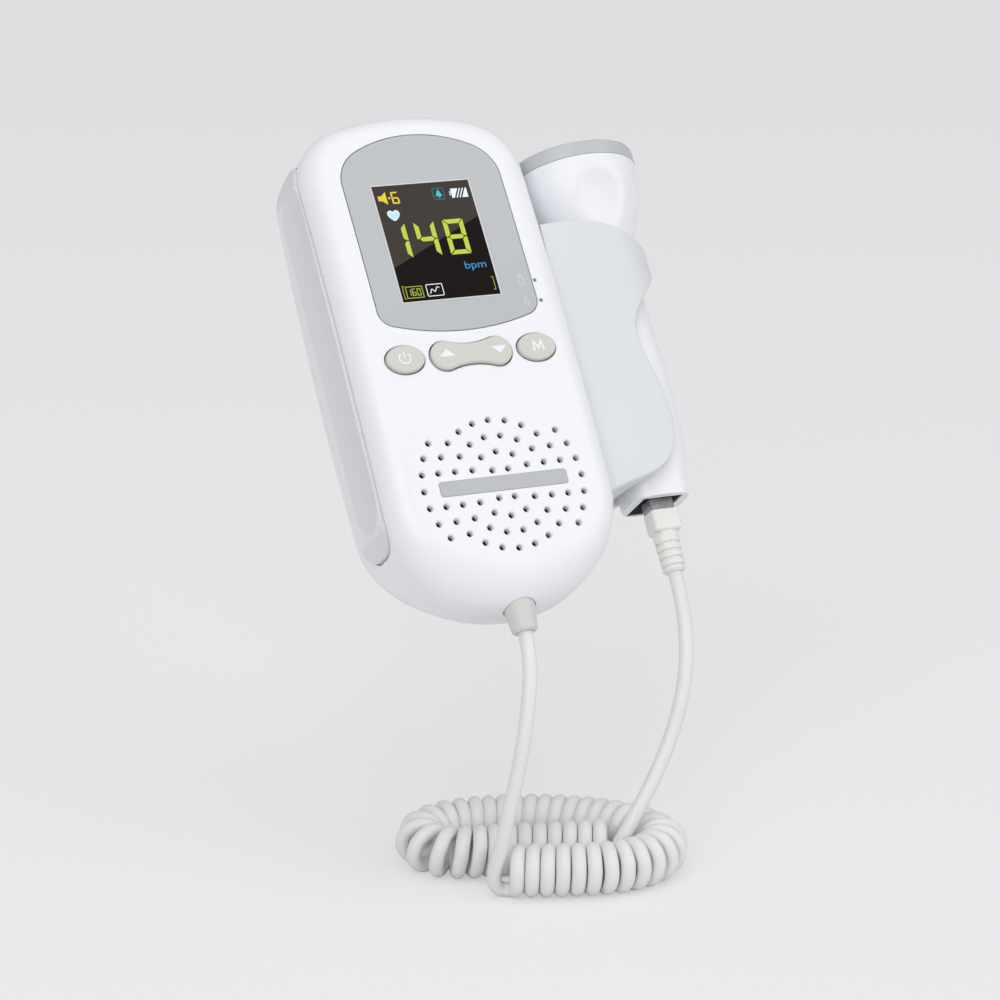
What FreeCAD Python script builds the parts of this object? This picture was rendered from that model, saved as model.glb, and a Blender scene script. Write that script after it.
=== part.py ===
import FreeCAD, Part
import math
import os

# Hand-held fetal doppler: a battery-powered main unit with a screen, keys and a speaker,
# a clip-on holster on its right flank, the ultrasound probe that stands in the holster,
# and the curly lead that joins the two.
#
# The rigid set is modelled in the unit's own frame: X across the unit, Y from its face
# inwards, Z up its length, with the origin at the speaker's centre on the face.
# Then the set leans back as it is held, the cord hangs from it, and the origin moves to
# the point on the rear shell that the palm holds.  Millimetres and degrees.

V = FreeCAD.Vector
X_AXIS, Y_AXIS, Z_AXIS = V(1, 0, 0), V(0, 1, 0), V(0, 0, 1)
FAR = 90.0                       # reach of cutting blocks beyond the unit
tolerance = 0.02                 # for finding edges by their place
small_round = 0.6                # of turned edges and tips

# ---- how the set is held -----------------------------------------------------------------
lean = 35.07                     # of the unit's face from the vertical
grip_height = 62.0               # of the palm above the speaker's centre, along the unit

# ---- main unit: outline seen from the front ----------------------------------------------
unit_half_width = 36.0
unit_top = (124.5, 80.0, 19.0)       # tip height, end radius, corner radius
unit_bottom = (-36.0, unit_half_width + 6.0, unit_half_width - 4.0)

# ---- main unit: side profile and rounded edges -------------------------------------------
crown_radius = 950.0             # of the gently bowed face
back_depth = 43.5                # face to back, where the back stands out most
back_radius, back_apex = 540.0, 62.0
front_edge, chin_edge = 8.0, 14.0    # round of the face's edge: top and sides, then bottom
rear_edge, heel_edge = 6.0, 18.0     # the same for the back
wall = 2.4
parting = 18.0                   # depth of the joint between front and rear shell
parting_gap = 0.12

# ---- screen window and display -----------------------------------------------------------
window_half_width = 25.8
window_top = (116.1, 40.0, 13.0)
window_bottom = (48.9, 75.0, 5.5)
window_thickness = 1.2
window_gap = 0.35
display_width, display_height = 31.7, 39.6
display_x, display_z = -1.1, 79.3
module_margin, module_thickness, module_gap = 2.2, 2.4, 0.3
module_round, display_border = 1.0, 1.0
seat_gap = 0.1                   # glue line or loose seat between pieces of one body

# ---- keys --------------------------------------------------------------------------------
key_row = 41.3                   # height of the row of keys
key_x = 21.0
key_half_length, key_half_height = 6.0, 4.4
rocker_reach, rocker_end, rocker_waist = 8.3, 4.6, 3.2
key_gap = 0.45
key_proud = 1.3
key_travel = 0.6
key_round = 0.8
stem_radius = 1.5
flange_width, flange_thickness = 0.9, 1.0
flange_gap = 0.3                 # of a key's flange under the shell
stem_length = 0.9
press_gap = 0.15                 # left over a switch when its key is fully pressed
rocker_lift = 0.6                # how much deeper the rocker's flange sits, so that it can tilt
fulcrum_radius, fulcrum_length = 1.2, 6.0

# ---- speaker and grille ------------------------------------------------------------------
hole_pitch, hole_radius = 5.0, 0.9
sink_radius, sink_depth = 1.25, 0.45   # of the holes' countersinks
full_rings = 4
side_ring_step = 12.0            # degrees between the holes of the outermost ring
side_ring_count = 7
badge_width, badge_height, badge_round = 40.3, 4.5, 1.0
badge_thickness, badge_proud = 0.7, 0.15
seat_inner, seat_outer, seat_depth = 26.4, 28.0, 6.6
speaker_radius = 27.4
coil_radius, magnet_radius = 8.0, 12.0
basket_depth, magnet_depth = 9.0, 4.5
frame_lip, frame_sheet = 1.2, 1.0
roll_width = 3.0                 # from the seat's inside to the cone's rim
paper, cone_drop, cap_rise, coil_wall = 0.5, 5.0, 1.1, 0.6

# ---- electronics -------------------------------------------------------------------------
board_thickness = 1.6
board_half_width = 28.0
board_low, board_high = 31.5, 111.0
switch_size, switch_height, switch_round = 4.6, 1.4, 0.4
plunger_radius, plunger_height = 1.2, 0.5
board_round, notch_gap = 2.0, 0.6
light_x = (window_half_width + 0.8, window_half_width + 1.0)
light_z = (63.2, 56.4)
light_radius, light_gap = 0.5, 0.1

# ---- case screws -------------------------------------------------------------------------
upper_screw = (27.0, 107.0)
lower_screw = (22.5, -21.5)
screw_radius, screw_head_radius, screw_length, screw_head = 1.3, 2.5, 8.0, 1.8
screw_gap = 0.08
slot_width, slot_length = 0.6, 3.0   # of the cross in a screw's head
pilot_spare = 0.5                # of a pilot hole past its screw's end
boss_wall = 1.7
boss_floor = 2.4

# ---- batteries, contacts and cover -------------------------------------------------------
cell_radius, cell_length, nub_radius, nub_length = 7.1, 49.2, 2.7, 1.2
cell_bottom = 45.0
cell_gap = 0.3
tray_wall = 1.6
contact_thickness, contact_width = 0.6, 9.0
spring_radius, spring_tip, spring_bore, spring_length = 2.8, 1.7, 1.1, 1.6
cover_margin = 3.2               # of the cover past the tray's opening, at the sides
cover_thickness = 2.0
cover_gap = 0.4
cover_round = 1.0
finger_slot = (9.0, 1.0, 1.2, 6.0)   # radius, depth, height and drop below the cover's top
pin_radius, pin_gap, pin_length = 0.8, 0.08, 2.0
pin_inset, barrel_radius = 1.5, 1.4  # of the cover's hinge, below the back
socket_wall = 1.4

# ---- grip panel and holster plate on the flanks ------------------------------------------
panel_setback = 8.0              # behind the face
panel_top, panel_bottom = 114.5, -13.5
panel_back_high, panel_back_mid, panel_back_low = 34.0, 36.0, 28.5
panel_top_round, panel_low_round = 9.6, 8.5
panel_recess = 1.2
panel_proud = 1.0
panel_gap = 0.5
dish_depth, dish_radius = 0.9, 60.0  # of the soft hollow in the grip panel
dish_low, dish_high = (18.5, 4.0), (22.5, 98.0)      # depth and height of its ends
cutter_reach = 10.0              # of the recess cutters beyond the flank

# ---- probe -------------------------------------------------------------------------------
probe_x, probe_y = unit_half_width + 21.5, 24.0
# height, half width and squareness of the sections from the mouth to the head
probe_sections = [
    (-4.5, 9.5, 3.2), (6.0, 11.2, 2.9), (17.0, 12.8, 2.5), (30.0, 13.4, 2.2), (45.0, 13.3, 2.0),
    (60.0, 12.6, 2.0), (71.0, 13.0, 2.0), (79.0, 14.2, 2.0), (86.0, 16.6, 2.0), (92.5, 19.0, 2.0),
    (98.5, 20.2, 2.0), (103.8, 20.3, 2.0)]
probe_wall = 1.9
thumb_radius, thumb_depth, thumb_height = 34.0, 2.1, 90.5
thumb_wall, thumb_round = 1.6, 5.0   # left behind the hollow; round of its edge
thumb_tilt = 18.0                # of the dish, with the flare of the head
rim_height, rim_proud = 4.8, 0.15
rim_round = 1.0
face_proud, face_border = 0.5, 1.7
face_thickness, face_skirt = 1.6, 1.4
mouth_width, mouth_front, mouth_back = 13.0, 17.3, 32.6
crystal_thickness, crystal_gap, crystal_inset = 1.6, 1.0, 2.2
backing_thickness = 4.0
probe_board_size = (14.0, 1.6, 66.0)
probe_screw_heights = (24.0, 58.0)
probe_screw_radius, probe_screw_head, probe_screw_length = 1.1, 2.0, 7.0
probe_screw_head_height = 1.4
probe_post_radius, probe_seat_depth = 2.6, 3.0
probe_post_wall = 1.2

# ---- holster -----------------------------------------------------------------------------
holster_outer = 16.5             # radius of the clip round the probe
holster_bore = 13.15             # of the clip before the probe's room is cut from it
holster_gap = 0.4                # round the probe
holster_bottom, holster_top = -6.5, 84.0
holster_mouth = 16.3             # bore radius at the flared top
hook_angle = 112.0               # of the front wall's end round the probe, from the front
heel_angle, foot_angle = 200.0, 250.0    # of the rear finger's end and of the rear foot
shoulder_front, shoulder_back = 9.2, 37.5    # depths where the walls leave the unit
shoulder_rise = 7.65             # depth of the front wall's crest between unit and probe
holster_overlap = 4.0            # of the clip into the flank plate
holster_round = 0.8              # of the hook's free edge
# free edge of the clip, from top to bottom: distance from the unit's middle past its flank, height
holster_edge = [
    (10.0, 84.0), (19.0, 82.6), (25.8, 79.8), (31.6, 76.6), (36.6, 73.4), (38.0, 69.6), (35.4, 65.0),
    (30.8, 60.2), (26.4, 55.2), (23.3, 50.2), (22.4, 45.0), (23.2, 38.0), (25.4, 29.5), (26.9, 19.5),
    (25.8, 10.5), (21.2, 3.6), (13.0, -0.2)]

# ---- plug and jack -----------------------------------------------------------------------
plug_x, plug_y = probe_x - 0.1, 22.5
plug_width, plug_depth, plug_nose, plug_foot = 7.65, 6.6, 6.0, -8.0
jack_gap, jack_wall = 0.3, 1.2
jack_roof = 1.0
mouth_gap, mouth_depth = 0.2, 0.3     # round the jack's nose in the probe's mouth
blade = (0.35, 1.2, 3.2)
blade_count, blade_pitch, blade_inset, blade_gap = 4, 1.27, 1.0, 0.02
plug_round = 0.3
latch_width, latch_thickness, latch_lift = 3.2, 0.9, 2.1
latch_drop, latch_tail = 0.8, 1.5    # of its root below the nose, of its end past the plug's foot
boot_width, boot_front, boot_back = 9.1, 4.55, 3.1
boot_block_end, boot_end = -14.5, -27.0
boot_radius, boot_tip_radius = 4.0, 3.5
boot_upright_round, boot_foot_round = 1.2, 0.8
rib_count, rib_start, rib_pitch, groove_width, groove_depth = 4, 3.2, 2.4, 1.0, 0.6

# ---- gland and cord ----------------------------------------------------------------------
gland_y = 11.0
gland_tip, gland_root = -42.6, -33.2
gland_radius, gland_tip_radius, gland_gap = 4.8, 3.9, 0.2
gland_flange, gland_flange_thickness, gland_collar = 1.6, 1.5, 1.5
cord_diameter = 4.3
arc_share = 0.45                 # of a run that the arc at its end may take
coil_diameter = 15.7
# Route of the cord, from the speaker's centre on the leaning unit, world axes.
# The first point of the main tail is the gland's tip, the last of the probe tail the boot's.
main_tail = [(-0.4, -19.6, -47.2), (-2.0, -23.4, -53.6), (-3.9, -26.1, -60.7), (-5.7, -27.8, -68.3),
             (-7.6, -28.7, -76.2), (-9.6, -29.3, -84.1), (-11.8, -29.6, -91.8), (-13.8, -29.7, -99.2),
             (-14.9, -29.5, -106.0), (-14.0, -29.3, -111.6), (-10.3, -29.5, -115.0)]
coil_height = -109.5
coil_ring = [(-10.1, -26.4), (-1.2, -30.2), (7.8, -33.6), (16.4, -36.0), (24.6, -36.4), (32.0, -34.5),
             (37.7, -30.2), (40.8, -24.2), (40.2, -16.6), (36.3, -9.2), (30.5, -2.6), (23.6, 2.9),
             (16.0, 7.6), (7.6, 11.1), (-1.2, 13.4), (-9.6, 14.5), (-17.6, 13.2), (-23.7, 8.6),
             (-25.4, 1.4), (-22.0, -5.2), (-15.0, -8.6), (-6.4, -10.4), (2.6, -12.8), (11.6, -15.6),
             (20.2, -18.2), (25.4, -19.7)]
probe_tail = [(22.7, -23.5, -114.5), (24.9, -25.0, -109.4), (28.3, -25.2, -103.9), (32.5, -24.1, -98.2),
              (36.9, -22.7, -92.6), (41.2, -21.0, -86.5), (45.3, -19.1, -80.0), (48.8, -17.0, -73.4),
              (51.9, -14.6, -66.4), (54.2, -11.8, -59.5), (55.8, -8.5, -52.8), (56.9, -4.6, -46.6),
              (57.2, -0.9, -40.4)]


# ==== helpers =============================================================================
def mirrored(point):
    return V(-point.x, point.y, point.z)


def box(low, high):
    """A block between two opposite corners."""
    size = [high[i] - low[i] for i in range(3)]
    return Part.makeBox(size[0], size[1], size[2], V(*low))


def rod(radius, start, end):
    """A round bar between two points."""
    axis = V(*end) - V(*start)
    return Part.makeCylinder(radius, axis.Length, V(*start), axis)


def prism(wire, depth_from, depth_to):
    """Extrudes an outline drawn in the XZ plane between two depths."""
    face = Part.Face(wire)
    face.translate(V(0, depth_from, 0))
    return face.extrude(V(0, depth_to - depth_from, 0))


def turned(points, centre):
    """Revolves a closed (radius, height) profile about a vertical line through centre."""
    corners = [V(radius, 0, height) for radius, height in points]
    face = Part.Face(Part.makePolygon(corners + [corners[0]]))
    shape = face.revolve(V(0, 0, 0), Z_AXIS, 360)
    shape.translate(V(centre[0], centre[1], 0))
    return shape


def end_arch(half_width, tip, end_radius, corner_radius, side):
    """Spring, corner middle and blend point of one rounded end; side is +1 at the top."""
    end_centre = V(0, 0, tip - side * end_radius)
    reach = half_width - corner_radius
    rise = math.sqrt((end_radius - corner_radius) ** 2 - reach ** 2)
    corner = end_centre + V(reach, 0, side * rise)
    outward = V(reach, 0, side * rise).normalize()
    halfway = (outward + X_AXIS).normalize()
    return (corner + X_AXIS * corner_radius, corner + halfway * corner_radius,
            end_centre + outward * end_radius)


def arch_outline(half_width, top, bottom, inset=0.0):
    """A tall outline with straight sides and two rounded ends, as one wire of tangent arcs."""
    half = half_width - inset
    high = end_arch(half, top[0] - inset, top[1] - inset, top[2] - inset, 1)
    low = end_arch(half, bottom[0] + inset, bottom[1] - inset, bottom[2] - inset, -1)
    peak, foot = V(0, 0, top[0] - inset), V(0, 0, bottom[0] + inset)
    edges = [Part.LineSegment(low[0], high[0]), Part.Arc(*high),
             Part.Arc(high[2], peak, mirrored(high[2])),
             Part.Arc(mirrored(high[2]), mirrored(high[1]), mirrored(high[0])),
             Part.LineSegment(mirrored(high[0]), mirrored(low[0])),
             Part.Arc(mirrored(low[0]), mirrored(low[1]), mirrored(low[2])),
             Part.Arc(mirrored(low[2]), foot, low[2]), Part.Arc(low[2], low[1], low[0])]
    return Part.Wire([edge.toShape() for edge in edges])


def unit_outline(inset=0.0):
    return arch_outline(unit_half_width, unit_top, unit_bottom, inset)


def window_outline(inset=0.0):
    return arch_outline(window_half_width, window_top, window_bottom, inset)


def crown_depth(height, inset=0.0):
    """Depth of the bowed face, or of a layer inset below it, at a height."""
    return crown_radius - math.sqrt((crown_radius - inset) ** 2 - height ** 2)


def behind_face(inset):
    """Everything deeper than a layer parallel to the bowed face."""
    return Part.makeCylinder(crown_radius - inset, 2 * FAR, V(-FAR, crown_radius, 0), X_AXIS)


def before_back(inset):
    """Everything in front of a layer parallel to the bowed back."""
    centre = V(-FAR, back_depth - back_radius, back_apex)
    return Part.makeCylinder(back_radius - inset, 2 * FAR, centre, X_AXIS)


def layer(shape, inset_from, inset_to):
    """The part of a shape between two layers parallel to the face."""
    return shape.common(behind_face(inset_from)).cut(behind_face(inset_to))


def turning(edge):
    """+1 where an edge of the unit's outline runs anticlockwise, seen from the front."""
    start, end = edge.Vertexes[0].Point, edge.Vertexes[-1].Point
    return 1 if start.x * (end.z - grip_height) > (start.z - grip_height) * end.x else -1


def loop_radii(shape, in_loop, side_radius, low_radius):
    """Edge numbers of one loop, each with its round at both ends in the loop's direction."""
    numbered = [(number, edge) for number, edge in enumerate(shape.Edges, 1) if in_loop(edge)]
    direction = turning(numbered[0][1])
    radii = []
    for number, edge in numbered:
        ends = [low_radius if vertex.Point.z < unit_bottom[0] / 2 else side_radius
                for vertex in edge.Vertexes]
        if turning(edge) != direction:
            ends.reverse()
        radii.append((number, ends[0], ends[-1]))
    return radii


def rounded(shape, inset):
    """Rounds the loops of edges round the face and the back, wider at the bottom."""
    base = workshop.addObject("Part::Feature", "base")
    base.Shape = shape
    fillet = workshop.addObject("Part::Fillet", "fillet")
    fillet.Base = base
    front = loop_radii(shape, lambda edge: edge.BoundBox.YMax < parting,
                       front_edge - inset, chin_edge - inset)
    rear = loop_radii(shape, lambda edge: edge.BoundBox.YMin > parting,
                      rear_edge - inset, heel_edge - inset)
    fillet.Edges = front + rear
    workshop.recompute()
    return fillet.Shape.copy()


def unit_form(inset=0.0):
    """The closed outer form of the main unit, or a form parallel to it."""
    block = prism(unit_outline(inset), -FAR, FAR)
    return rounded(block.common(behind_face(inset)).common(before_back(inset)), inset)


def on_face(shape, height):
    """Moves a shape drawn at the speaker's centre to another height of the bowed face."""
    moved = shape.copy()
    moved.rotate(V(0, 0, 0), X_AXIS, -math.degrees(math.asin(height / crown_radius)))
    moved.translate(V(0, crown_depth(height), height))
    return moved


def joined(shapes):
    first = shapes[0]
    return first.fuse(shapes[1:]).removeSplitter() if len(shapes) > 1 else first


# ==== outlines of the keys and small trim =================================================
def ellipse_outline(half_length, half_height, centre_x):
    curve = Part.Ellipse(V(0, 0, 0), half_length, half_height).toShape()
    curve.rotate(V(0, 0, 0), X_AXIS, 90)
    curve.translate(V(centre_x, 0, 0))
    return Part.Wire([curve])


def rocker_outline(grow=0.0):
    """Two round ends joined by a hollow waist."""
    end, waist = rocker_end + grow, rocker_waist + grow
    hollow = (rocker_reach ** 2 + waist ** 2 - end ** 2) / (2 * (end - waist))
    hollow_centre = waist + hollow
    share = end / (end + hollow)
    touch = V(rocker_reach * (1 - share), 0, hollow_centre * share)
    flip = lambda p, sx, sz: V(p.x * sx, 0, p.z * sz)
    tip = V(rocker_reach + end, 0, 0)
    edges = [Part.Arc(flip(touch, 1, -1), tip, touch),
             Part.Arc(touch, V(0, 0, waist), flip(touch, -1, 1)),
             Part.Arc(flip(touch, -1, 1), flip(tip, -1, 1), flip(touch, -1, -1)),
             Part.Arc(flip(touch, -1, -1), V(0, 0, -waist), flip(touch, 1, -1))]
    return Part.Wire([edge.toShape() for edge in edges])


def bar(width, height, radius, depth_from, depth_to, centre=(0.0, 0.0)):
    """A plate with rounded corners, drawn in the XZ plane."""
    x, z = centre
    plate = box((x - width / 2, depth_from, z - height / 2), (x + width / 2, depth_to, z + height / 2))
    corners = [edge for edge in plate.Edges if edge.BoundBox.YLength > (depth_to - depth_from) / 2]
    return plate.makeFillet(radius, corners)


def hole_places():
    """Centres of the grille's holes: full rings, then the two sides of the outermost ring."""
    places = []
    for ring in range(1, full_rings + 1):
        count = 6 * ring
        places += [(ring * hole_pitch, 360.0 * i / count) for i in range(count)]
    spread = side_ring_step * (side_ring_count - 1) / 2
    for side in (0.0, 180.0):
        places += [((full_rings + 1) * hole_pitch, side - spread + side_ring_step * i)
                   for i in range(side_ring_count)]
    under_badge = badge_height / 2 + hole_radius
    points = [(radius * math.cos(math.radians(turn)), radius * math.sin(math.radians(turn)))
              for radius, turn in places]
    return [(x, z) for x, z in points if abs(z) > under_badge or abs(x) > badge_width / 2 + hole_radius]


# ==== flank panels ========================================================================
def panel_outline(inset=0.0):
    """Side view of the grip panel: parallel to the face in front, bowed at the back."""
    front = crown_radius - panel_setback - inset
    low, high = panel_bottom + inset, panel_top - inset
    at_front = lambda height: V(0, crown_radius - math.sqrt(front ** 2 - height ** 2), height)
    back_high = V(0, panel_back_high - inset, high)
    back_mid = V(0, panel_back_mid - inset, grip_height)
    back_low = V(0, panel_back_low - inset, low)
    middle = (low + high) / 2
    edges = [Part.LineSegment(at_front(low), back_low), Part.Arc(back_low, back_mid, back_high),
             Part.LineSegment(back_high, at_front(high)),
             Part.Arc(at_front(high), at_front(middle), at_front(low))]
    return Part.Wire([edge.toShape() for edge in edges])


def panel_block(inset, side):
    """The panel's side view pushed through one flank of the unit; side is -1 on the left."""
    block = Part.Face(panel_outline(inset)).extrude(V(FAR, 0, 0))
    for at_top, radius in ((True, panel_top_round), (False, panel_low_round)):
        corners = [edge for edge in block.Edges if edge.BoundBox.XLength > FAR / 2
                   and (edge.BoundBox.ZMin > grip_height) == at_top]
        block = block.makeFillet(radius - inset, corners)
    return block if side > 0 else block.mirror(V(0, 0, 0), X_AXIS)


def flank_layer(shape, inset_from, inset_to):
    """The part of a shape between two outlines parallel to the unit's."""
    outer = prism(unit_outline(inset_from), -FAR, FAR)
    return shape.common(outer).cut(prism(unit_outline(inset_to), -FAR, FAR))


def flank_recess(side):
    return flank_layer(panel_block(0.0, side), -cutter_reach, panel_recess + seat_gap)


def flank_plate(side):
    """A plate that fills a flank's recess and stands a little proud of it."""
    return flank_layer(panel_block(panel_gap, side), -panel_proud, panel_recess)


def side_grip_panel():
    """The left plate, with a long shallow hollow that fades out towards its edges."""
    axis = -(unit_half_width + panel_proud + dish_radius - dish_depth)
    low, high = (axis, *dish_low), (axis, *dish_high)
    hollow = [rod(dish_radius, low, high), Part.makeSphere(dish_radius, V(*low)),
              Part.makeSphere(dish_radius, V(*high))]
    return flank_plate(-1).cut(hollow)


# ==== main unit shells ====================================================================
def screw_places():
    return [(side * x, z) for x, z in (upper_screw, lower_screw) for side in (-1, 1)]


def screw_depth():
    """Depth of the screw heads' seats, at the foot of the rear bosses."""
    return parting + boss_floor


def grille_cuts():
    """The badge's seat, and the grille's holes, each with a countersink."""
    cuts = [bar(badge_width + 2 * seat_gap, badge_height + 2 * seat_gap, badge_round, -wall, badge_thickness)]
    for x, z in hole_places():
        mouth = crown_depth(z)
        hole = about_speaker([(0, -wall), (sink_radius, -wall), (sink_radius, mouth),
                              (hole_radius, mouth + sink_depth), (hole_radius, 2 * wall), (0, 2 * wall)])
        hole.translate(V(x, 0, z))
        cuts.append(hole)
    return cuts


def key_cuts():
    left, right = [ellipse_outline(key_half_length + key_gap, key_half_height + key_gap, side * key_x)
                   for side in (-1, 1)]
    wires = (left, right, rocker_outline(key_gap))
    return [on_face(prism(wire, -4, wall * 2), key_row) for wire in wires]


def window_cuts():
    pocket = layer(prism(window_outline(), -wall, FAR), -wall, window_thickness + seat_gap)
    width, height = display_width / 2 + display_border, display_height / 2 + display_border
    view = box((-width, -wall, -height), (width, wall * 2, height))
    view.translate(V(display_x, 0, 0))
    return [pocket, on_face(view, display_z)]


def light_cuts():
    return [on_face(rod(light_radius + light_gap, (x, -3, 0), (x, wall * 2, 0)), z)
            for x, z in zip(light_x, light_z)]


def front_boss(place):
    x, z = place
    return rod(screw_radius + boss_wall, (x, wall, z), (x, parting - parting_gap, z))


def speaker_seat():
    ring = rod(seat_outer, (0, crown_depth(0) + wall / 2, 0), (0, seat_depth, 0))
    return ring.cut(rod(seat_inner, (0, 0, 0), (0, seat_depth + 1, 0)))


def front_shell(outer, inner):
    """The face half: window pocket, key holes, grille, screw bosses and the gland's hole."""
    tub = outer.cut(inner)
    posts = [front_boss(place) for place in screw_places()] + [speaker_seat()]
    tub = joined([tub] + [post.common(outer) for post in posts])
    tub = tub.common(box((-FAR, -FAR, -FAR), (FAR, parting - parting_gap / 2, 2 * FAR)))
    pilot_end = screw_depth() - screw_length - pilot_spare
    pilots = [rod(screw_radius + screw_gap, (x, pilot_end, z), (x, parting, z))
              for x, z in screw_places()]
    gland_hole = rod(gland_radius + gland_gap, (0, gland_y, unit_bottom[0] - 5),
                     (0, gland_y, gland_root + 1.5 * wall))
    cuts = grille_cuts() + key_cuts() + window_cuts() + light_cuts() + pilots
    cuts += [gland_hole, flank_recess(-1), flank_recess(1)]
    return tub.cut(cuts)


def tray_box():
    """Inside of the battery tray: half width, front depth, low and high end."""
    half = 2 * cell_radius + 1.5 * cell_gap
    front = cell_depth() - cell_radius - cell_gap
    low = cell_bottom - spring_length - contact_thickness - seat_gap
    high = cell_bottom + cell_length + nub_length + contact_thickness + 2 * seat_gap
    return half, front, low, high


def cover_reach():
    """Low and high edge of the battery cover."""
    half, front, low, high = tray_box()
    return low - tray_wall - cover_gap, high + tray_wall + cover_gap


def back_depth_at(height, inset=0.0):
    """Depth of the bowed back, or of a layer inset below it, at a height."""
    return back_depth - back_radius + math.sqrt((back_radius - inset) ** 2 - (height - back_apex) ** 2)


def cell_depth():
    """Depth of the cells' axes, just under the battery cover."""
    farthest = max(abs(cell_bottom - back_apex), abs(cell_bottom + cell_length - back_apex))
    return back_depth_at(back_apex + farthest, cover_thickness) - cell_gap - cell_radius


def pin_place():
    """Axis of the cover's hinge pins: depth and height."""
    height = cover_reach()[0] + barrel_radius
    return back_depth_at(height, pin_inset), height


def cover_half_width():
    return tray_box()[0] + cover_margin


def rear_boss(place, outer):
    x, z = place
    post = rod(screw_head_radius + screw_gap + boss_wall, (x, parting + parting_gap / 2, z), (x, FAR, z))
    return post.common(outer)


def screw_well(place):
    x, z = place
    head = rod(screw_head_radius + screw_gap * 2, (x, screw_depth(), z), (x, FAR, z))
    return head.fuse(rod(screw_radius + screw_gap, (x, parting - 1, z), (x, FAR, z)))


def battery_tray(outer):
    half, front, low, high = tray_box()
    block = box((-half - tray_wall, front - tray_wall, low - tray_wall),
                (half + tray_wall, FAR, high + tray_wall))
    return block.common(outer)


def hinge_bar(outer):
    """A bar across the shell's inside, which takes the cover's hinge pins."""
    depth, height = pin_place()
    half = cover_half_width() + pin_length + cover_gap + socket_wall
    reach = pin_radius + pin_gap + socket_wall
    return box((-half, depth - reach, height - reach), (half, FAR, height + reach)).common(outer)


def cover_opening():
    """The stepped opening in the back: the cover's place, then the tray behind it."""
    half, front, low, high = tray_box()
    bottom, top = cover_reach()
    place = box((-cover_half_width() - cover_gap, 0, bottom - cover_gap),
                (cover_half_width() + cover_gap, FAR, top + cover_gap))
    place = place.cut(before_back(cover_thickness + 2 * seat_gap))
    depth, height = pin_place()
    reach = cover_half_width() + cover_gap
    barrel = rod(barrel_radius + cover_gap, (-reach, depth, height), (reach, depth, height))
    return [place, barrel, box((-half, front, low), (half, FAR, high))]


def rear_shell(outer, inner):
    """The back half: screw wells, the battery tray and the cover's hinge sockets."""
    tub = outer.cut(inner)
    posts = [rear_boss(place, outer) for place in screw_places()]
    tub = joined([tub] + posts + [battery_tray(outer), hinge_bar(outer)])
    tub = tub.common(box((-FAR, parting + parting_gap / 2, -FAR), (FAR, FAR, 2 * FAR)))
    depth, height = pin_place()
    reach = cover_half_width() + pin_length + cover_gap
    socket = rod(pin_radius + pin_gap, (-reach, depth, height), (reach, depth, height))
    cuts = [screw_well(place) for place in screw_places()] + cover_opening()
    return tub.cut(cuts + [socket, flank_recess(-1), flank_recess(1)])


def case_screw(place):
    x, z = place
    seat = screw_depth() + seat_gap / 2
    head = rod(screw_head_radius, (x, seat, z), (x, seat + screw_head, z))
    shank = rod(screw_radius, (x, seat - screw_length, z), (x, seat, z))
    bottom, top = seat + screw_head / 2, seat + 2 * screw_head
    wide, long = slot_width / 2, slot_length / 2
    cross = [box((x - a, bottom, z - b), (x + a, top, z + b)) for a, b in ((wide, long), (long, wide))]
    return head.fuse(shank).cut(cross)


# ==== window, display, keys, lights =======================================================
def screen_window():
    return layer(prism(window_outline(window_gap), -wall, FAR), 0.0, window_thickness)


def display_module():
    width, height = display_width + 2 * module_margin, display_height + 2 * module_margin
    front = wall + module_gap
    body = bar(width, height, module_round, front, front + module_thickness, (display_x, 0))
    return on_face(body, display_z)


def key_foot():
    """Depth of the ends of the keys' stems, below the face at the row of keys."""
    return wall + flange_gap + flange_thickness + stem_length


def board_front():
    """Depth of the board's front, below the face at the row of keys."""
    return key_foot() + key_travel + press_gap + plunger_height + switch_height + seat_gap / 2


def key_cap(wire_at, stems, flange_depth):
    """A key: rounded cap through the shell, flange under it and a stem over each switch."""
    cap = prism(wire_at(0.0), -key_proud, flange_depth + flange_thickness)
    rim = [edge for edge in cap.Edges if edge.BoundBox.YMax < -key_proud / 2]
    cap = cap.makeFillet(key_round, rim)
    flange = prism(wire_at(flange_width), flange_depth, flange_depth + flange_thickness)
    pegs = [rod(stem_radius, (x, flange_depth, 0), (x, key_foot(), 0)) for x in stems]
    return joined([cap, flange] + pegs)


def round_key(side):
    x = side * key_x
    outline = lambda grow: ellipse_outline(key_half_length + grow, key_half_height + grow, x)
    return on_face(key_cap(outline, [x], wall + flange_gap), key_row)


def volume_rocker():
    """The two-way key, which tilts on a round-ended fulcrum that stands on the board."""
    flange_depth = wall + flange_gap + rocker_lift
    key = key_cap(rocker_outline, [-rocker_reach, rocker_reach], flange_depth)
    tip = board_front() - seat_gap / 2 - fulcrum_radius
    half = fulcrum_length / 2
    post = box((-fulcrum_radius, flange_depth, -half), (fulcrum_radius, tip, half))
    return on_face(joined([key, post, rod(fulcrum_radius, (0, tip, -half), (0, tip, half))]), key_row)


def switch_places():
    return [-key_x, -rocker_reach, rocker_reach, key_x]


def key_switch(x):
    """A tact switch on the board, its plunger a full key press behind the key's stem."""
    back = board_front() - seat_gap / 2
    front = back - switch_height
    body = bar(switch_size, switch_size, switch_round, front, back, (x, 0))
    plunger = rod(plunger_radius, (x, front - plunger_height, 0), (x, back, 0))
    return on_face(body.fuse(plunger), key_row)


def key_switches():
    return Part.makeCompound([key_switch(x) for x in switch_places()])


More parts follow.
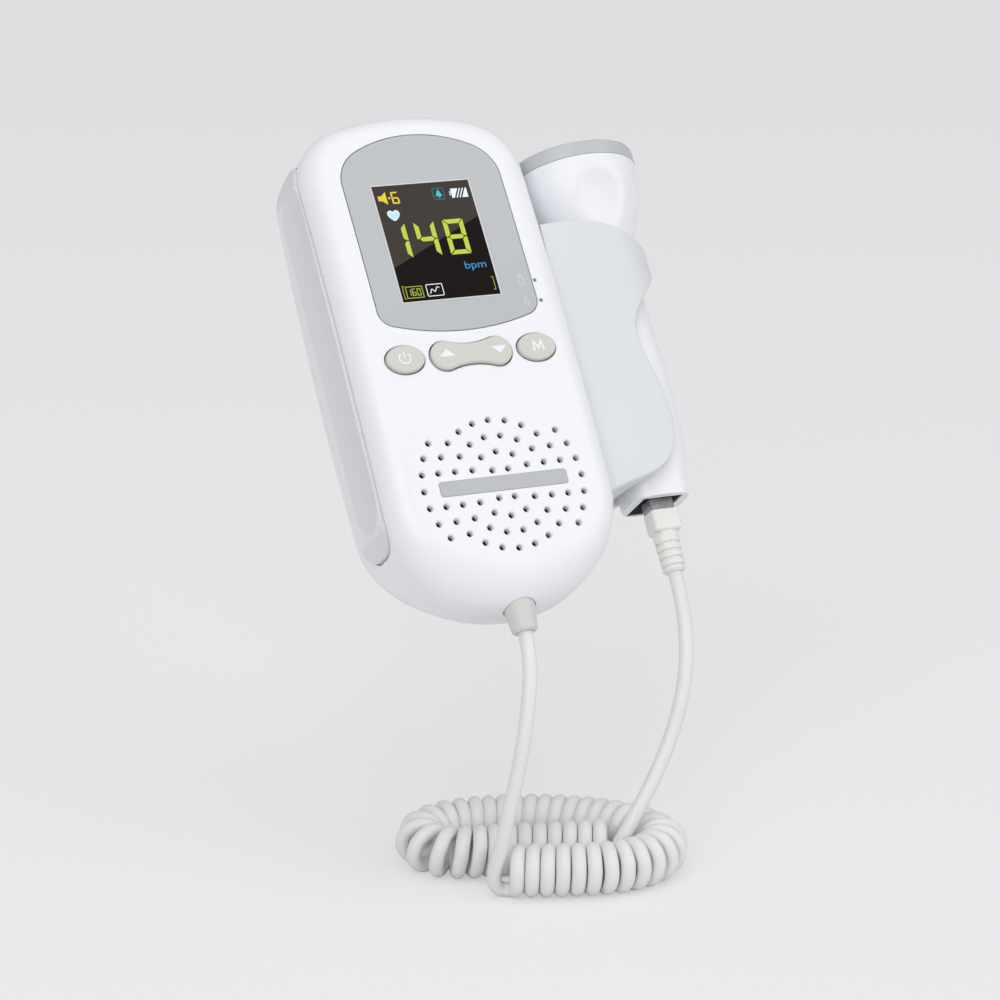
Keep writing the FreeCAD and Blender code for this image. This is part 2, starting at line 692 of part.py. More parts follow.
def main_board():
    """The board lies behind the keys and the display, notched round the screw bosses."""
    front = board_front()
    middle = (board_low + board_high) / 2
    board = bar(2 * board_half_width, board_high - board_low, board_round, front,
                front + board_thickness, (0, middle - key_row))
    notch = screw_radius + boss_wall + notch_gap
    return on_face(board, key_row).cut([rod(notch, (x, 0, z), (x, FAR, z)) for x, z in screw_places()])


def indicator_light(x, z):
    """A light pipe from the face to the lamp on the board."""
    tilt = key_row / crown_radius
    board = crown_depth(key_row) + board_front() + (z - key_row) * tilt
    pin = rod(light_radius, (x, 0, 0), (x, board - crown_depth(z) - seat_gap * 2, 0))
    return on_face(pin, z)


def indicator_lights():
    return Part.makeCompound([indicator_light(x, z) for x, z in zip(light_x, light_z)])


# ==== speaker =============================================================================
def about_speaker(points):
    """Revolves a (radius, depth) profile about the speaker's axis."""
    corners = [V(radius, depth, 0) for radius, depth in points]
    face = Part.Face(Part.makePolygon(corners + [corners[0]]))
    return face.revolve(V(0, 0, 0), Y_AXIS, 360)


def speaker_frame():
    start = seat_depth + seat_gap
    back, roll = start + basket_depth, seat_inner - roll_width
    return about_speaker([
        (speaker_radius, start), (speaker_radius, start + frame_lip), (roll + frame_sheet, start + frame_lip),
        (magnet_radius + frame_sheet, back), (0, back), (0, back - frame_sheet),
        (magnet_radius, back - frame_sheet), (roll, start + frame_sheet), (roll, start)])


def speaker_cone():
    """The paper cone with its voice coil and the shallow cap over the coil."""
    front = seat_depth + 3 * seat_gap
    back = seat_depth + basket_depth - frame_sheet
    rim, inside = seat_inner - roll_width - seat_gap, coil_radius - coil_wall
    cap_edge = front + cone_drop - 3 * paper
    return about_speaker([
        (rim, front), (rim, front + paper), (coil_radius, front + cone_drop), (coil_radius, back),
        (inside, back), (inside, cap_edge + paper), (0, cap_edge - cap_rise + paper),
        (0, cap_edge - cap_rise), (inside, cap_edge)])


def speaker_magnet():
    start = seat_depth + seat_gap * 2 + basket_depth
    magnet = rod(magnet_radius, (0, start, 0), (0, start + magnet_depth, 0))
    return magnet.makeChamfer(small_round, [edge for edge in magnet.Edges if edge.BoundBox.YMin > start + 1])


def speaker_badge():
    plate = bar(badge_width, badge_height, badge_round - seat_gap, -badge_proud,
                badge_thickness - seat_gap / 2)
    rim = [edge for edge in plate.Edges if edge.BoundBox.YMax < 0]
    return plate.makeFillet(badge_proud * 0.8, rim)


# ==== batteries ===========================================================================
def cell_places():
    return [-(cell_radius + cell_gap / 2), cell_radius + cell_gap / 2]


def battery_cell(x, up):
    """One AA cell; up is +1 where its nub points up the unit."""
    low, high = cell_bottom, cell_bottom + cell_length
    if up < 0:
        ends = tray_box()[2] + tray_box()[3]
        low, high = ends - high, ends - low
    can = rod(cell_radius, (x, cell_depth(), low), (x, cell_depth(), high))
    ends = [edge for edge in can.Edges if edge.BoundBox.ZLength < tolerance]
    can = can.makeFillet(small_round, ends)
    start = high if up > 0 else low
    nub = rod(nub_radius, (x, cell_depth(), start - up * small_round),
              (x, cell_depth(), start + up * nub_length))
    return can.fuse(nub)


def battery_contact(x, at_top, sprung):
    """A contact plate on the tray's end wall, with a conical spring on the minus side."""
    half, front, low, high = tray_box()
    wall_side = high - seat_gap / 2 if at_top else low + seat_gap / 2
    inward = -1 if at_top else 1
    depth = cell_depth()
    sheet = sorted((wall_side, wall_side + inward * contact_thickness))
    plate = box((x - contact_width / 2, depth - contact_width / 2, sheet[0]),
                (x + contact_width / 2, depth + contact_width / 2, sheet[1]))
    if not sprung:
        return plate
    tip = wall_side + inward * (contact_thickness + spring_length - seat_gap)
    spring = Part.makeCone(spring_radius, spring_tip, spring_length,
                           V(x, depth, wall_side + inward * (contact_thickness - seat_gap)),
                           Z_AXIS * inward)
    bore = rod(spring_bore, (x, depth, wall_side + inward * contact_thickness), (x, depth, tip + inward))
    return plate.fuse(spring.cut(bore))


def battery_contacts():
    left, right = cell_places()
    return Part.makeCompound([battery_contact(left, False, True), battery_contact(left, True, False),
                              battery_contact(right, False, False), battery_contact(right, True, True)])


def battery_cover():
    """The cover in the back, on two hinge pins, with a finger notch at its latch."""
    bottom, top = cover_reach()
    half = cover_half_width()
    block = box((-half, 0, bottom), (half, FAR, top))
    plate = block.common(before_back(0.0)).cut(before_back(cover_thickness))
    corners = [edge for edge in plate.Edges if edge.BoundBox.YLength > cover_thickness / 2
               and edge.BoundBox.XLength < tolerance and edge.BoundBox.ZLength < cover_thickness]
    plate = plate.makeFillet(cover_round, corners)
    depth, height = pin_place()
    reach = half + pin_length
    pins = rod(pin_radius, (-reach, depth, height), (reach, depth, height))
    hinge = rod(barrel_radius, (-half, depth, height), (half, depth, height))
    radius, sunk, tall, drop = finger_slot
    slot_axis = back_depth_at(top - drop) - sunk + radius
    notch = rod(radius, (0, slot_axis, top - drop), (0, slot_axis, top - drop + tall))
    strip = box((-half - 1, 0, bottom - 1), (half + 1, FAR, height))
    return plate.cut(strip).fuse([hinge, pins])


# ==== holster =============================================================================
def round_probe(radius, angle):
    """A point on a circle round the probe; angle 0 faces front, 90 away from the unit."""
    turn = math.radians(angle)
    return V(probe_x + radius * math.sin(turn), probe_y - radius * math.cos(turn), 0)


def clip_section():
    """Plan of the holster: a C round the probe on a foot that reaches the unit."""
    inner, outer = holster_bore, holster_outer
    root = unit_half_width - panel_recess / 2
    foot_front, foot_back = V(root, shoulder_front, 0), V(root, shoulder_back, 0)
    crest = V((root + probe_x) / 2, shoulder_rise, 0)
    edges = [Part.Arc(foot_front, crest, round_probe(outer, 0)),
             Part.Arc(round_probe(outer, 0), round_probe(outer, hook_angle / 2),
                      round_probe(outer, hook_angle)),
             Part.LineSegment(round_probe(outer, hook_angle), round_probe(inner, hook_angle)),
             Part.Arc(round_probe(inner, hook_angle), round_probe(inner, (hook_angle + heel_angle) / 2 + 180),
                      round_probe(inner, heel_angle)),
             Part.LineSegment(round_probe(inner, heel_angle), round_probe(outer, heel_angle)),
             Part.Arc(round_probe(outer, heel_angle), round_probe(outer, (heel_angle + foot_angle) / 2),
                      round_probe(outer, foot_angle)),
             Part.LineSegment(round_probe(outer, foot_angle), foot_back),
             Part.LineSegment(foot_back, foot_front)]
    return Part.Wire([edge.toShape() for edge in edges])


def holster_side():
    """Front view of the holster: a hooked upper lobe, a notch, then a broad lower lobe."""
    top, bottom = [V(unit_half_width - holster_overlap, 0, z) for z in (holster_top, holster_bottom)]
    curve = Part.BSplineCurve()
    curve.interpolate([top] + [V(unit_half_width + x, 0, z) for x, z in holster_edge] + [bottom])
    return Part.Wire([curve.toShape(), Part.LineSegment(bottom, top).toShape()])


def probe_room():
    """The space the probe needs on its way up and out: nowhere narrower than below."""
    reach, side = 0.0, []
    for height, half, squareness in probe_sections:
        if height < holster_top:
            corner = half * 2 ** (0.5 - 1 / squareness)
            reach = max(reach, corner + holster_gap)
            side.append((reach, height))
    low, high = holster_bottom - wall, holster_top + wall
    return turned([(0, low), (side[0][0], low), *side, (holster_mouth, holster_top), (holster_mouth, high),
                   (0, high)], (probe_x, probe_y))


def points_along(edge, count=7):
    """Points spread evenly over an edge."""
    first, last = edge.FirstParameter, edge.LastParameter
    return [edge.valueAt(first + (last - first) * i / (count - 1)) for i in range(count)]


def on_hook(edge):
    """Whether an edge is the free edge of the clip's front wall, where it goes round the probe."""
    axis = V(probe_x, probe_y, 0)
    reaches = [V(p.x, p.y, 0).distanceToPoint(axis) for p in points_along(edge)]
    low, high = edge.BoundBox.XMin, edge.BoundBox.XMax
    return max(reaches) - min(reaches) < tolerance and abs(reaches[0] - holster_outer) < tolerance \
        and low > probe_x - tolerance and high > low + tolerance


def probe_holster():
    face = Part.Face(clip_section())
    face.translate(V(0, 0, -FAR))
    clip = face.extrude(V(0, 0, 3 * FAR))
    clip = clip.cut(probe_room()).common(prism(holster_side(), -FAR, FAR))
    beside_unit = clip.cut(prism(unit_outline(-seat_gap), -FAR, FAR))
    on_plate = clip.common(panel_block(panel_gap, 1))
    holster = joined([flank_plate(1), beside_unit, on_plate])
    return holster.makeFillet(holster_round, [edge for edge in holster.Edges if on_hook(edge)])


# ==== probe ===============================================================================
def probe_section(height, half, squareness, inset):
    """One closed section: a circle at squareness 2, a rounded square above that."""
    points = []
    for i in range(16):
        turn = 2 * math.pi * i / 16
        c, s = math.cos(turn), math.sin(turn)
        reach = half / (abs(c) ** squareness + abs(s) ** squareness) ** (1 / squareness) - inset
        points.append(V(probe_x + reach * c, probe_y + reach * s, height))
    curve = Part.BSplineCurve()
    curve.interpolate(points, PeriodicFlag=True)
    return Part.Wire([curve.toShape()])


def probe_form(inset, sections):
    return Part.makeLoft([probe_section(h, half, n, inset) for h, half, n in sections], True, False)


def probe_half_width(height):
    """Half width of the probe at a height, between its sections."""
    for (low, near, _), (high, far, _) in zip(probe_sections, probe_sections[1:]):
        if low <= height <= high:
            return near + (far - near) * (height - low) / (high - low)
    return probe_sections[-1][1]


def probe_posts(front):
    """Screw posts of one half, each with its pilot hole or its counterbored well."""
    gap = parting_gap / 2
    seat = probe_y + probe_seat_depth
    hole = probe_screw_radius + screw_gap
    posts, cuts = [], []
    for z in probe_screw_heights:
        if front:
            posts.append(rod(probe_post_radius, (probe_x, 0, z), (probe_x, probe_y - gap, z)))
            cuts.append(rod(hole, (probe_x, seat - probe_screw_length - pilot_spare, z), (probe_x, seat, z)))
        else:
            well = probe_screw_head + screw_gap * 2
            posts.append(rod(well + probe_post_wall, (probe_x, probe_y + gap, z), (probe_x, FAR, z)))
            cuts.append(rod(hole, (probe_x, probe_y, z), (probe_x, seat + 1, z)))
            cuts.append(rod(well, (probe_x, seat, z), (probe_x, FAR, z)))
    return posts, cuts


def thumb_ball(grow=0.0):
    """The ball that presses the thumb's hollow into the flare of the head."""
    tilt = math.radians(thumb_tilt)
    reach = thumb_radius - thumb_depth
    return Part.makeSphere(thumb_radius + grow, V(
        probe_x, probe_y - probe_half_width(thumb_height) - reach * math.cos(tilt),
        thumb_height - reach * math.sin(tilt)))


def thumb_edges(shape):
    """The edges round the thumb's hollow."""
    centre = thumb_ball().BoundBox.Center
    return [edge for edge in shape.Edges
            if all(abs(p.distanceToPoint(centre) - thumb_radius) < tolerance for p in points_along(edge))]


def probe_half(front):
    """Front or rear shell of the probe, hollow, with the lead's mouth in its foot."""
    low, high = probe_sections[0][0], probe_sections[-1][0]
    hollow = [(max(h, low + probe_wall), half, n) for h, half, n in probe_sections]
    hollow[-1] = (high + probe_wall, hollow[-1][1], hollow[-1][2])
    form = probe_form(0.0, probe_sections)
    posts, cuts = probe_posts(front)
    if front:
        posts.append(thumb_ball(thumb_wall))
    shell = joined([form.cut(probe_form(probe_wall, hollow))] + [post.common(form) for post in posts])
    mouth = box((probe_x - mouth_width / 2, mouth_front, low - 1),
                (probe_x + mouth_width / 2, mouth_back, low + probe_wall + 1))
    gap = parting_gap / 2
    if front:
        side = box((0, -FAR, -FAR), (2 * FAR, probe_y - gap, 2 * FAR))
    else:
        side = box((0, probe_y + gap, -FAR), (2 * FAR, FAR, 2 * FAR))
    half = shell.cut([thumb_ball(), mouth] + cuts).common(side)
    return half.makeFillet(thumb_round, thumb_edges(half)) if front else half


def head_radius():
    return probe_sections[-1][1] + rim_proud


def probe_rim_ring():
    low = probe_sections[-1][0] + seat_gap
    radius = head_radius()
    inner = radius - face_border
    top, blend = low + rim_height, 0.3 * rim_round
    return turned([(inner, low), (radius, low), (radius, top - rim_round), (radius - blend, top - blend),
                   (radius - rim_round, top), (inner, top)], (probe_x, probe_y))


def probe_face():
    """The flat acoustic face, a cup whose skirt hangs inside the rim ring."""
    low, radius = probe_sections[-1][0] + seat_gap, head_radius() - face_border - seat_gap
    top = low + rim_height + face_proud
    inside, under = radius - face_skirt, top - face_thickness
    return turned([(0, top), (radius - small_round, top), (radius, top - small_round), (radius, low),
                   (inside, low), (inside, under), (0, under)], (probe_x, probe_y))


def crystal_top():
    """Height of the crystals' fronts, which are glued to the inside of the face."""
    return probe_sections[-1][0] + rim_height + face_proud - face_thickness


def crystal_radius():
    return head_radius() - face_border - crystal_inset


def crystal(side):
    """A half-round piezo plate; side is -1 for the transmitter, +1 for the receiver."""
    top = crystal_top()
    disc = rod(crystal_radius(), (probe_x, probe_y, top - crystal_thickness), (probe_x, probe_y, top))
    edge = probe_x + side * crystal_gap / 2
    keep = box((min(edge, edge + side * FAR), -FAR, 0), (max(edge, edge + side * FAR), FAR, 2 * FAR))
    return disc.common(keep)


def backing_disc():
    top = crystal_top() - crystal_thickness
    return rod(crystal_radius(), (probe_x, probe_y, top - backing_thickness), (probe_x, probe_y, top))


def probe_board():
    """The probe's board stands in the handle between the jack and the head."""
    width, thickness, height = probe_board_size
    low = plug_nose + jack_gap + jack_roof + seat_gap
    board = box((probe_x - width / 2, probe_y - thickness / 2, low),
                (probe_x + width / 2, probe_y + thickness / 2, low + height))
    hole = probe_post_radius + probe_post_wall + notch_gap
    return board.cut([rod(hole, (probe_x, 0, z), (probe_x, FAR, z)) for z in probe_screw_heights])


def probe_jack():
    """The socket block: a keyed hole for the plug with a slot for its latch."""
    low = probe_sections[0][0] + probe_wall + 2 * seat_gap
    high = plug_nose + jack_gap
    half = plug_width / 2 + jack_gap
    front, back = plug_y - plug_depth / 2 - jack_gap, plug_y + plug_depth / 2 + jack_gap
    slot_half, slot_back = latch_width / 2 + jack_gap, back + latch_lift + latch_thickness
    block = box((plug_x - half - jack_wall, front - jack_wall, low),
                (plug_x + half + jack_wall, slot_back + jack_wall, high + jack_roof))
    foot = probe_sections[0][0] + mouth_depth
    nose = box((probe_x - mouth_width / 2 + mouth_gap, mouth_front + mouth_gap, foot),
               (probe_x + mouth_width / 2 - mouth_gap, mouth_back - mouth_gap, low))
    cavity = box((plug_x - half, front, foot - 1), (plug_x + half, back, high))
    slot = box((plug_x - slot_half, back - 1, foot - 1), (plug_x + slot_half, slot_back, high))
    return block.fuse(nose).removeSplitter().cut([cavity, slot])


def probe_screws():
    seat = probe_y + probe_seat_depth + seat_gap / 2
    screws = []
    for z in probe_screw_heights:
        shank = rod(probe_screw_radius, (probe_x, seat - probe_screw_length, z), (probe_x, seat, z))
        head = rod(probe_screw_head, (probe_x, seat, z), (probe_x, seat + probe_screw_head_height, z))
        screws.append(shank.fuse(head))
    return Part.makeCompound(screws)


# ==== plug and boot =======================================================================
def blade_places():
    return [plug_x + (i - (blade_count - 1) / 2) * blade_pitch for i in range(blade_count)]


def blade_box(x, grow):
    thick, deep, tall = blade
    front, top = plug_y - plug_depth / 2, plug_nose - blade_inset
    return box((x - thick / 2 - grow, front - grow, top - tall - grow),
               (x + thick / 2 + grow, front + deep + grow, top + grow))


def plug_body():
    body = box((plug_x - plug_width / 2, plug_y - plug_depth / 2, plug_foot),
               (plug_x + plug_width / 2, plug_y + plug_depth / 2, plug_nose))
    upright = [edge for edge in body.Edges if edge.BoundBox.ZLength > 5]
    return body.makeFillet(plug_round, upright).cut([blade_box(x, 0.0) for x in blade_places()])


def plug_contacts():
    return Part.makeCompound([blade_box(x, -blade_gap) for x in blade_places()])


def plug_latch():
    """The latch lever, sprung away from the plug's back from its root near the nose."""
    root = plug_y + plug_depth / 2 + seat_gap
    top, foot = plug_nose - latch_drop, plug_foot - latch_tail
    corners = [V(0, root, top), V(0, root + latch_thickness, top + latch_drop / 2),
               V(0, root + latch_lift + latch_thickness, foot), V(0, root + latch_lift, foot)]
    face = Part.Face(Part.makePolygon(corners + [corners[0]]))
    lever = face.extrude(V(latch_width, 0, 0))
    lever.translate(V(plug_x - latch_width / 2, 0, 0))
    return lever


def plug_boot():
    """Moulded block on the plug's foot, running out in a ribbed strain relief."""
    block = box((plug_x - boot_width / 2, plug_y - boot_front, boot_block_end),
                (plug_x + boot_width / 2, plug_y + boot_back, plug_foot))
    block = block.makeFillet(boot_upright_round, [edge for edge in block.Edges if edge.BoundBox.ZLength > 5])
    foot = [edge for edge in block.Edges if edge.BoundBox.ZMax < boot_block_end + tolerance]
    block = block.makeFillet(boot_foot_round, foot)
    taper = (boot_radius - boot_tip_radius) / (boot_block_end - boot_end)
    profile = [(0, boot_block_end + 1), (boot_radius, boot_block_end + 1)]
    for i in range(rib_count):
        start = boot_block_end - rib_start - rib_pitch * i
        radius = boot_radius - taper * (boot_block_end - start)
        bed = radius - groove_depth
        profile += [(radius, start), (bed, start - groove_width / 4), (bed, start - groove_width * 3 / 4),
                    (radius, start - groove_width)]
    profile += [(boot_tip_radius, boot_end + small_round), (boot_tip_radius - small_round, boot_end),
                (0, boot_end)]
    return block.fuse(turned(profile, (plug_x, plug_y)))


def cord_gland():
    """The tapered grommet, with a flange that holds it inside the shell."""
    flange_low = gland_root + seat_gap
    cone = turned([(0, flange_low), (gland_radius, flange_low), (gland_radius, gland_root - gland_collar),
                   (gland_tip_radius, gland_tip + small_round), (gland_tip_radius - small_round, gland_tip),
                   (0, gland_tip)], (0, gland_y))
    flange = rod(gland_radius + gland_flange, (0, gland_y, flange_low - tolerance),
                 (0, gland_y, flange_low + gland_flange_thickness))
    return cone, flange


def gland_shape(inner):
    cone, flange = cord_gland()
    return cone.fuse(flange.common(inner))


# ==== cord ================================================================================
def tangent_path(points):
    """Straight runs joined by tangent arcs, each as large as its two runs allow."""
    corners = [V(*point) for point in points]
    edges, start = [], corners[0]
    for before, corner, after in zip(corners, corners[1:], corners[2:]):
        into, out = (corner - before).normalize(), (after - corner).normalize()
        turn = into.getAngle(out)
        trim = arc_share * min((corner - before).Length, (after - corner).Length)
        radius = trim / math.tan(turn / 2)
        arc_start, arc_end = corner - into * trim, corner + out * trim
        centre_way = (out - into).normalize()
        centre = corner + centre_way * (radius / math.cos(turn / 2))
        middle = centre + (corner - centre).normalize() * radius
        edges.append(Part.LineSegment(start, arc_start).toShape())
        edges.append(Part.Arc(arc_start, middle, arc_end).toShape())
        print("  turn %5.1f deg, radius %6.1f mm" % (math.degrees(turn), radius))
        start = arc_end
    edges.append(Part.LineSegment(start, corners[-1]).toShape())
    return Part.Wire(edges)


def tube(name, points, diameter):
    """A round cord along its route; its volume is compared with section times length."""
    print(name)
    path = tangent_path(points)
    heading = path.Edges[0].tangentAt(path.Edges[0].FirstParameter)
    circle = Part.Wire([Part.makeCircle(diameter / 2, V(*points[0]), heading)])
    solid = path.makePipeShell([circle], True, False)
    expected = math.pi * diameter ** 2 / 4 * path.Length
    print("  length %.1f mm, volume %.4f of section times length" % (path.Length, solid.Volume / expected))
    return solid


def leaned(point):
    """A point of the unit's frame after the set has leaned back."""
    turn = math.radians(lean)
    x, y, z = point
    return (x, y * math.cos(turn) + z * math.sin(turn), z * math.cos(turn) - y * math.sin(turn))


def cord_parts():
    gland_end = leaned((0, gland_y, gland_tip))
    boot_tip = leaned((plug_x, plug_y, boot_end))
    return {
        "cord_main_tail": tube("cord_main_tail", [gland_end] + main_tail, cord_diameter),
        "cord_coil": tube("cord_coil", [(x, y, coil_height) for x, y in coil_ring], coil_diameter),
        "cord_probe_tail": tube("cord_probe_tail", probe_tail + [boot_tip], cord_diameter)}


# ==== the whole set =======================================================================
def unit_parts():
    outer, inner = unit_form(), unit_form(wall)
    clear = unit_form(wall + seat_gap)
    left, right = cell_places()
    return {
        "front_shell": front_shell(outer, inner),
        "rear_shell": rear_shell(outer, inner),
        "side_grip_panel": side_grip_panel(),
        "screen_window": screen_window(),
        "display_module": display_module(),
        "main_board": main_board(),
        "key_switches": key_switches(),
        "indicator_lights": indicator_lights(),
        "power_button": round_key(-1),
        "volume_rocker": volume_rocker(),
        "mode_button": round_key(1),
        "speaker_frame": speaker_frame(),
        "speaker_cone": speaker_cone(),
        "speaker_magnet": speaker_magnet(),
        "speaker_badge": speaker_badge(),
        "battery_cell_left": battery_cell(left, 1),
        "battery_cell_right": battery_cell(right, -1),
        "battery_contacts": battery_contacts(),
        "battery_cover": battery_cover(),
        "case_screws": Part.makeCompound([case_screw(place) for place in screw_places()]),
        "cord_gland": gland_shape(clear)}


def probe_parts():
    return {
        "probe_holster": probe_holster(),
        "probe_front_shell": probe_half(True),
        "probe_rear_shell": probe_half(False),
        "probe_rim_ring": probe_rim_ring(),
        "probe_face": probe_face(),
        "transmit_crystal": crystal(-1),
        "receive_crystal": crystal(1),
        "backing_disc": backing_disc(),
        "probe_board": probe_board(),
        "probe_jack": probe_jack(),
        "probe_screws": probe_screws(),
        "plug_body": plug_body(),
        "plug_contacts": plug_contacts(),
        "plug_latch": plug_latch(),
        "plug_boot": plug_boot()}


def main():
    os.makedirs("parts", exist_ok=True)
    parts = {}
    for name, shape in {**unit_parts(), **probe_parts()}.items():
        shape.rotate(V(0, 0, 0), X_AXIS, -lean)
        parts[name] = shape
    parts.update(cord_parts())
    palm = leaned((0, back_depth, grip_height))
    for name, shape in parts.items():
        shape.translate(V(0, -palm[1], -palm[2]))
        shape.exportStep("parts/%s.step" % name)
        print("%-20s solids %d valid %s volume %9.1f" % (name, len(shape.Solids), shape.isValid(), shape.Volume))


workshop = FreeCAD.newDocument("workshop")
main()
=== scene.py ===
# %% [markdown]
# # A hand-held heartbeat monitor with its probe and curly lead
# The rigid pieces come from the CAD model, which is loaded here as a fixed frame. Blender adds
# what CAD leaves plain: the turns of the lead, the lit screen, the signs on the keys and the
# finish of every surface. Work starts by loading the frame. Nothing that is added may make the
# object bigger.

# %% Load the frame
import bpy
import math
from mathutils import Matrix, Vector
from mathutils.bvhtree import BVHTree


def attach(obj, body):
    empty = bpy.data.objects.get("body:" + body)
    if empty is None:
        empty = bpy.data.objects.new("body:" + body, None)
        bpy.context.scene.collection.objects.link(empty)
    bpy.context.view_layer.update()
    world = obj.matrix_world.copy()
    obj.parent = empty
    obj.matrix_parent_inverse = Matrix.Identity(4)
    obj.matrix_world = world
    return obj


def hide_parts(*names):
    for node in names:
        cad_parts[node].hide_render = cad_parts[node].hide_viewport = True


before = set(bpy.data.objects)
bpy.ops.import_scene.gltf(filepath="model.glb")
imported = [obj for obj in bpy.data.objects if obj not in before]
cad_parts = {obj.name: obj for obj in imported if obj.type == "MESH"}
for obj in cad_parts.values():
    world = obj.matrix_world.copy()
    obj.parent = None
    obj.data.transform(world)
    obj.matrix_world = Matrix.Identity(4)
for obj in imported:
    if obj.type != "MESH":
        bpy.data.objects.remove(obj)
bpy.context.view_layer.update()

MM = 0.001

# %% [markdown]
# ## Where the set is held
# The unit leans back in the hand. Sizes on its face are easiest to give in the unit's own frame:
# x across, y into the face, z up its length, from the middle of the speaker. One matrix turns
# such a place into the frame that Blender and the CAD model share.

# %% The unit's own frame
LEAN = math.radians(35.07)
SPEAKER_PLACE = Vector((0.0, -71.226, -25.75))      # mm, in the shared frame
held = (Matrix.Translation(SPEAKER_PLACE * MM) @ Matrix.Rotation(-LEAN, 4, "X")
        @ Matrix.Scale(MM, 4))
INTO_FACE = (held.to_3x3() @ Vector((0, 1, 0))).normalized()
print("speaker's centre at", [round(n, 4) for n in held.translation])

# %% [markdown]
# ## Camera
# A long lens from a metre away keeps the unit's sides nearly parallel, as in a catalogue picture.
# The camera stands to the left of the set and a little above it, level from side to side.

# %% Camera
CAMERA_PLACE = (-0.39337, -0.97121, 0.24434)        # m, in the shared frame
CAMERA_LOOKS = (0.38456, 0.88276, -0.26989)
camera = bpy.data.objects.new("camera", bpy.data.cameras.new("camera"))
camera.data.sensor_width = 36.0
camera.data.lens = 126.0
camera.data.clip_start = 0.05
camera.data.clip_end = 50.0
camera.location = CAMERA_PLACE
camera.rotation_euler = Vector(CAMERA_LOOKS).to_track_quat("-Z", "Y").to_euler()
bpy.context.scene.collection.objects.link(camera)
bpy.context.scene.camera = camera
bpy.context.scene.view_settings.view_transform = "Standard"

# %% [markdown]
# ## The lead
# The lead is one length of soft vinyl cord: a plain tail from the unit's foot, a wound stretch
# that lies in a ring on the table, and a plain tail up to the plug. It is drawn as one curve, so
# that it has no joins. The tails are listed points; the turns are worked out by a loop that
# follows the middle line of the ring. They lie close on its straight runs and fan out round its
# bends.

# %% Route of the lead, in mm from the speaker's centre
CORD_DIAMETER = 4.3
ROUND_TUBE = 1.02        # the tube has flat sides, and this makes it 4.3 mm across them
COIL_DIAMETER = 15.7
COIL_HEIGHT = -109.5
GLAND_TIP = (0.0, -15.49, -41.19)
BOOT_TIP = (57.4, 2.90, -35.03)
main_tail = [(-0.4, -19.6, -47.2), (-2.0, -23.4, -53.6), (-3.9, -26.1, -60.7), (-5.7, -27.8, -68.3),
             (-7.6, -28.7, -76.2), (-9.6, -29.3, -84.1), (-11.8, -29.6, -91.8), (-13.3, -29.4, -99.4),
             (-14.9, -28.4, -106.0), (-15.3, -27.0, -111.4), (-13.4, -26.1, -114.7),
             (-10.7, -26.4, -115.3)]
coil_ring = [(-8.9, -26.9), (-1.2, -30.2), (7.8, -33.6), (16.4, -36.0), (24.6, -36.4), (32.0, -34.5),
             (37.7, -30.2), (40.8, -24.2), (40.2, -16.6), (36.3, -9.2), (30.5, -2.6), (23.6, 2.9),
             (16.0, 7.6), (7.6, 11.1), (-1.2, 13.4), (-9.6, 14.5), (-17.6, 13.2), (-23.7, 8.6),
             (-25.4, 1.4), (-22.0, -5.2), (-15.0, -8.6), (-6.4, -10.4), (2.6, -12.8), (11.6, -15.6),
             (20.2, -18.2), (25.4, -19.7)]
probe_tail = [(24.9, -25.0, -109.4), (28.3, -25.2, -103.9), (32.5, -24.1, -98.2), (36.9, -22.7, -92.6),
              (41.2, -21.0, -86.5), (45.3, -19.1, -80.0), (48.8, -17.0, -73.4), (51.9, -14.6, -66.4),
              (54.2, -11.8, -59.5), (55.8, -8.5, -52.8), (56.9, -4.6, -46.6), (57.2, -0.9, -40.4)]


# %% A smooth spline through the route's points
def spline_through(name, points, radius=0.0):
    """One open NURBS curve with these control points, in mm from the speaker's centre.

    A tube's radius is its bevel depth times the radius of its points, so the depth is 1.
    """
    curve = bpy.data.curves.new(name, "CURVE")
    curve.dimensions = "3D"
    curve.resolution_u = 8
    curve.bevel_depth = 1.0 if radius else 0.0
    curve.bevel_resolution = 5
    curve.use_fill_caps = True
    line = curve.splines.new("NURBS")
    line.points.add(len(points) - 1)
    for control, point in zip(line.points, points):
        control.co = (*((Vector(point) + SPEAKER_PLACE) * MM), 1.0)
        control.radius = radius * MM
    line.order_u = 3
    line.use_endpoint_u = True
    made = bpy.data.objects.new(name, curve)
    bpy.context.scene.collection.objects.link(made)
    return made


# %% The turns, wound round the ring's middle line
# Each pair is a distance along the ring and the value there, both in mm.
TURN_SPACING = [(0, 4.4), (38, 4.4), (54, 5.3), (68, 5.0), (80, 4.25), (118, 4.25), (132, 5.5),
                (150, 5.8), (163, 4.5)]
TURN_TILT = [(0, 0.6), (45, 0.6), (78, 0.0)]        # how far a turn's top leans back
START_ANGLE = math.radians(-90.0)       # the bottom of the ring, where the main tail hooks in
END_ANGLE = math.radians(-50.7)
STEPS_PER_TURN = 16
HELIX_RADIUS = (COIL_DIAMETER - CORD_DIAMETER) / 2 / math.cos(math.pi / STEPS_PER_TURN)


def value_at(distance, table):
    """The table's value at a distance, straight from pair to pair."""
    for (low, before), (high, after) in zip(table, table[1:]):
        if distance <= high:
            return before + (after - before) * (distance - low) / (high - low)
    return table[-1][1]


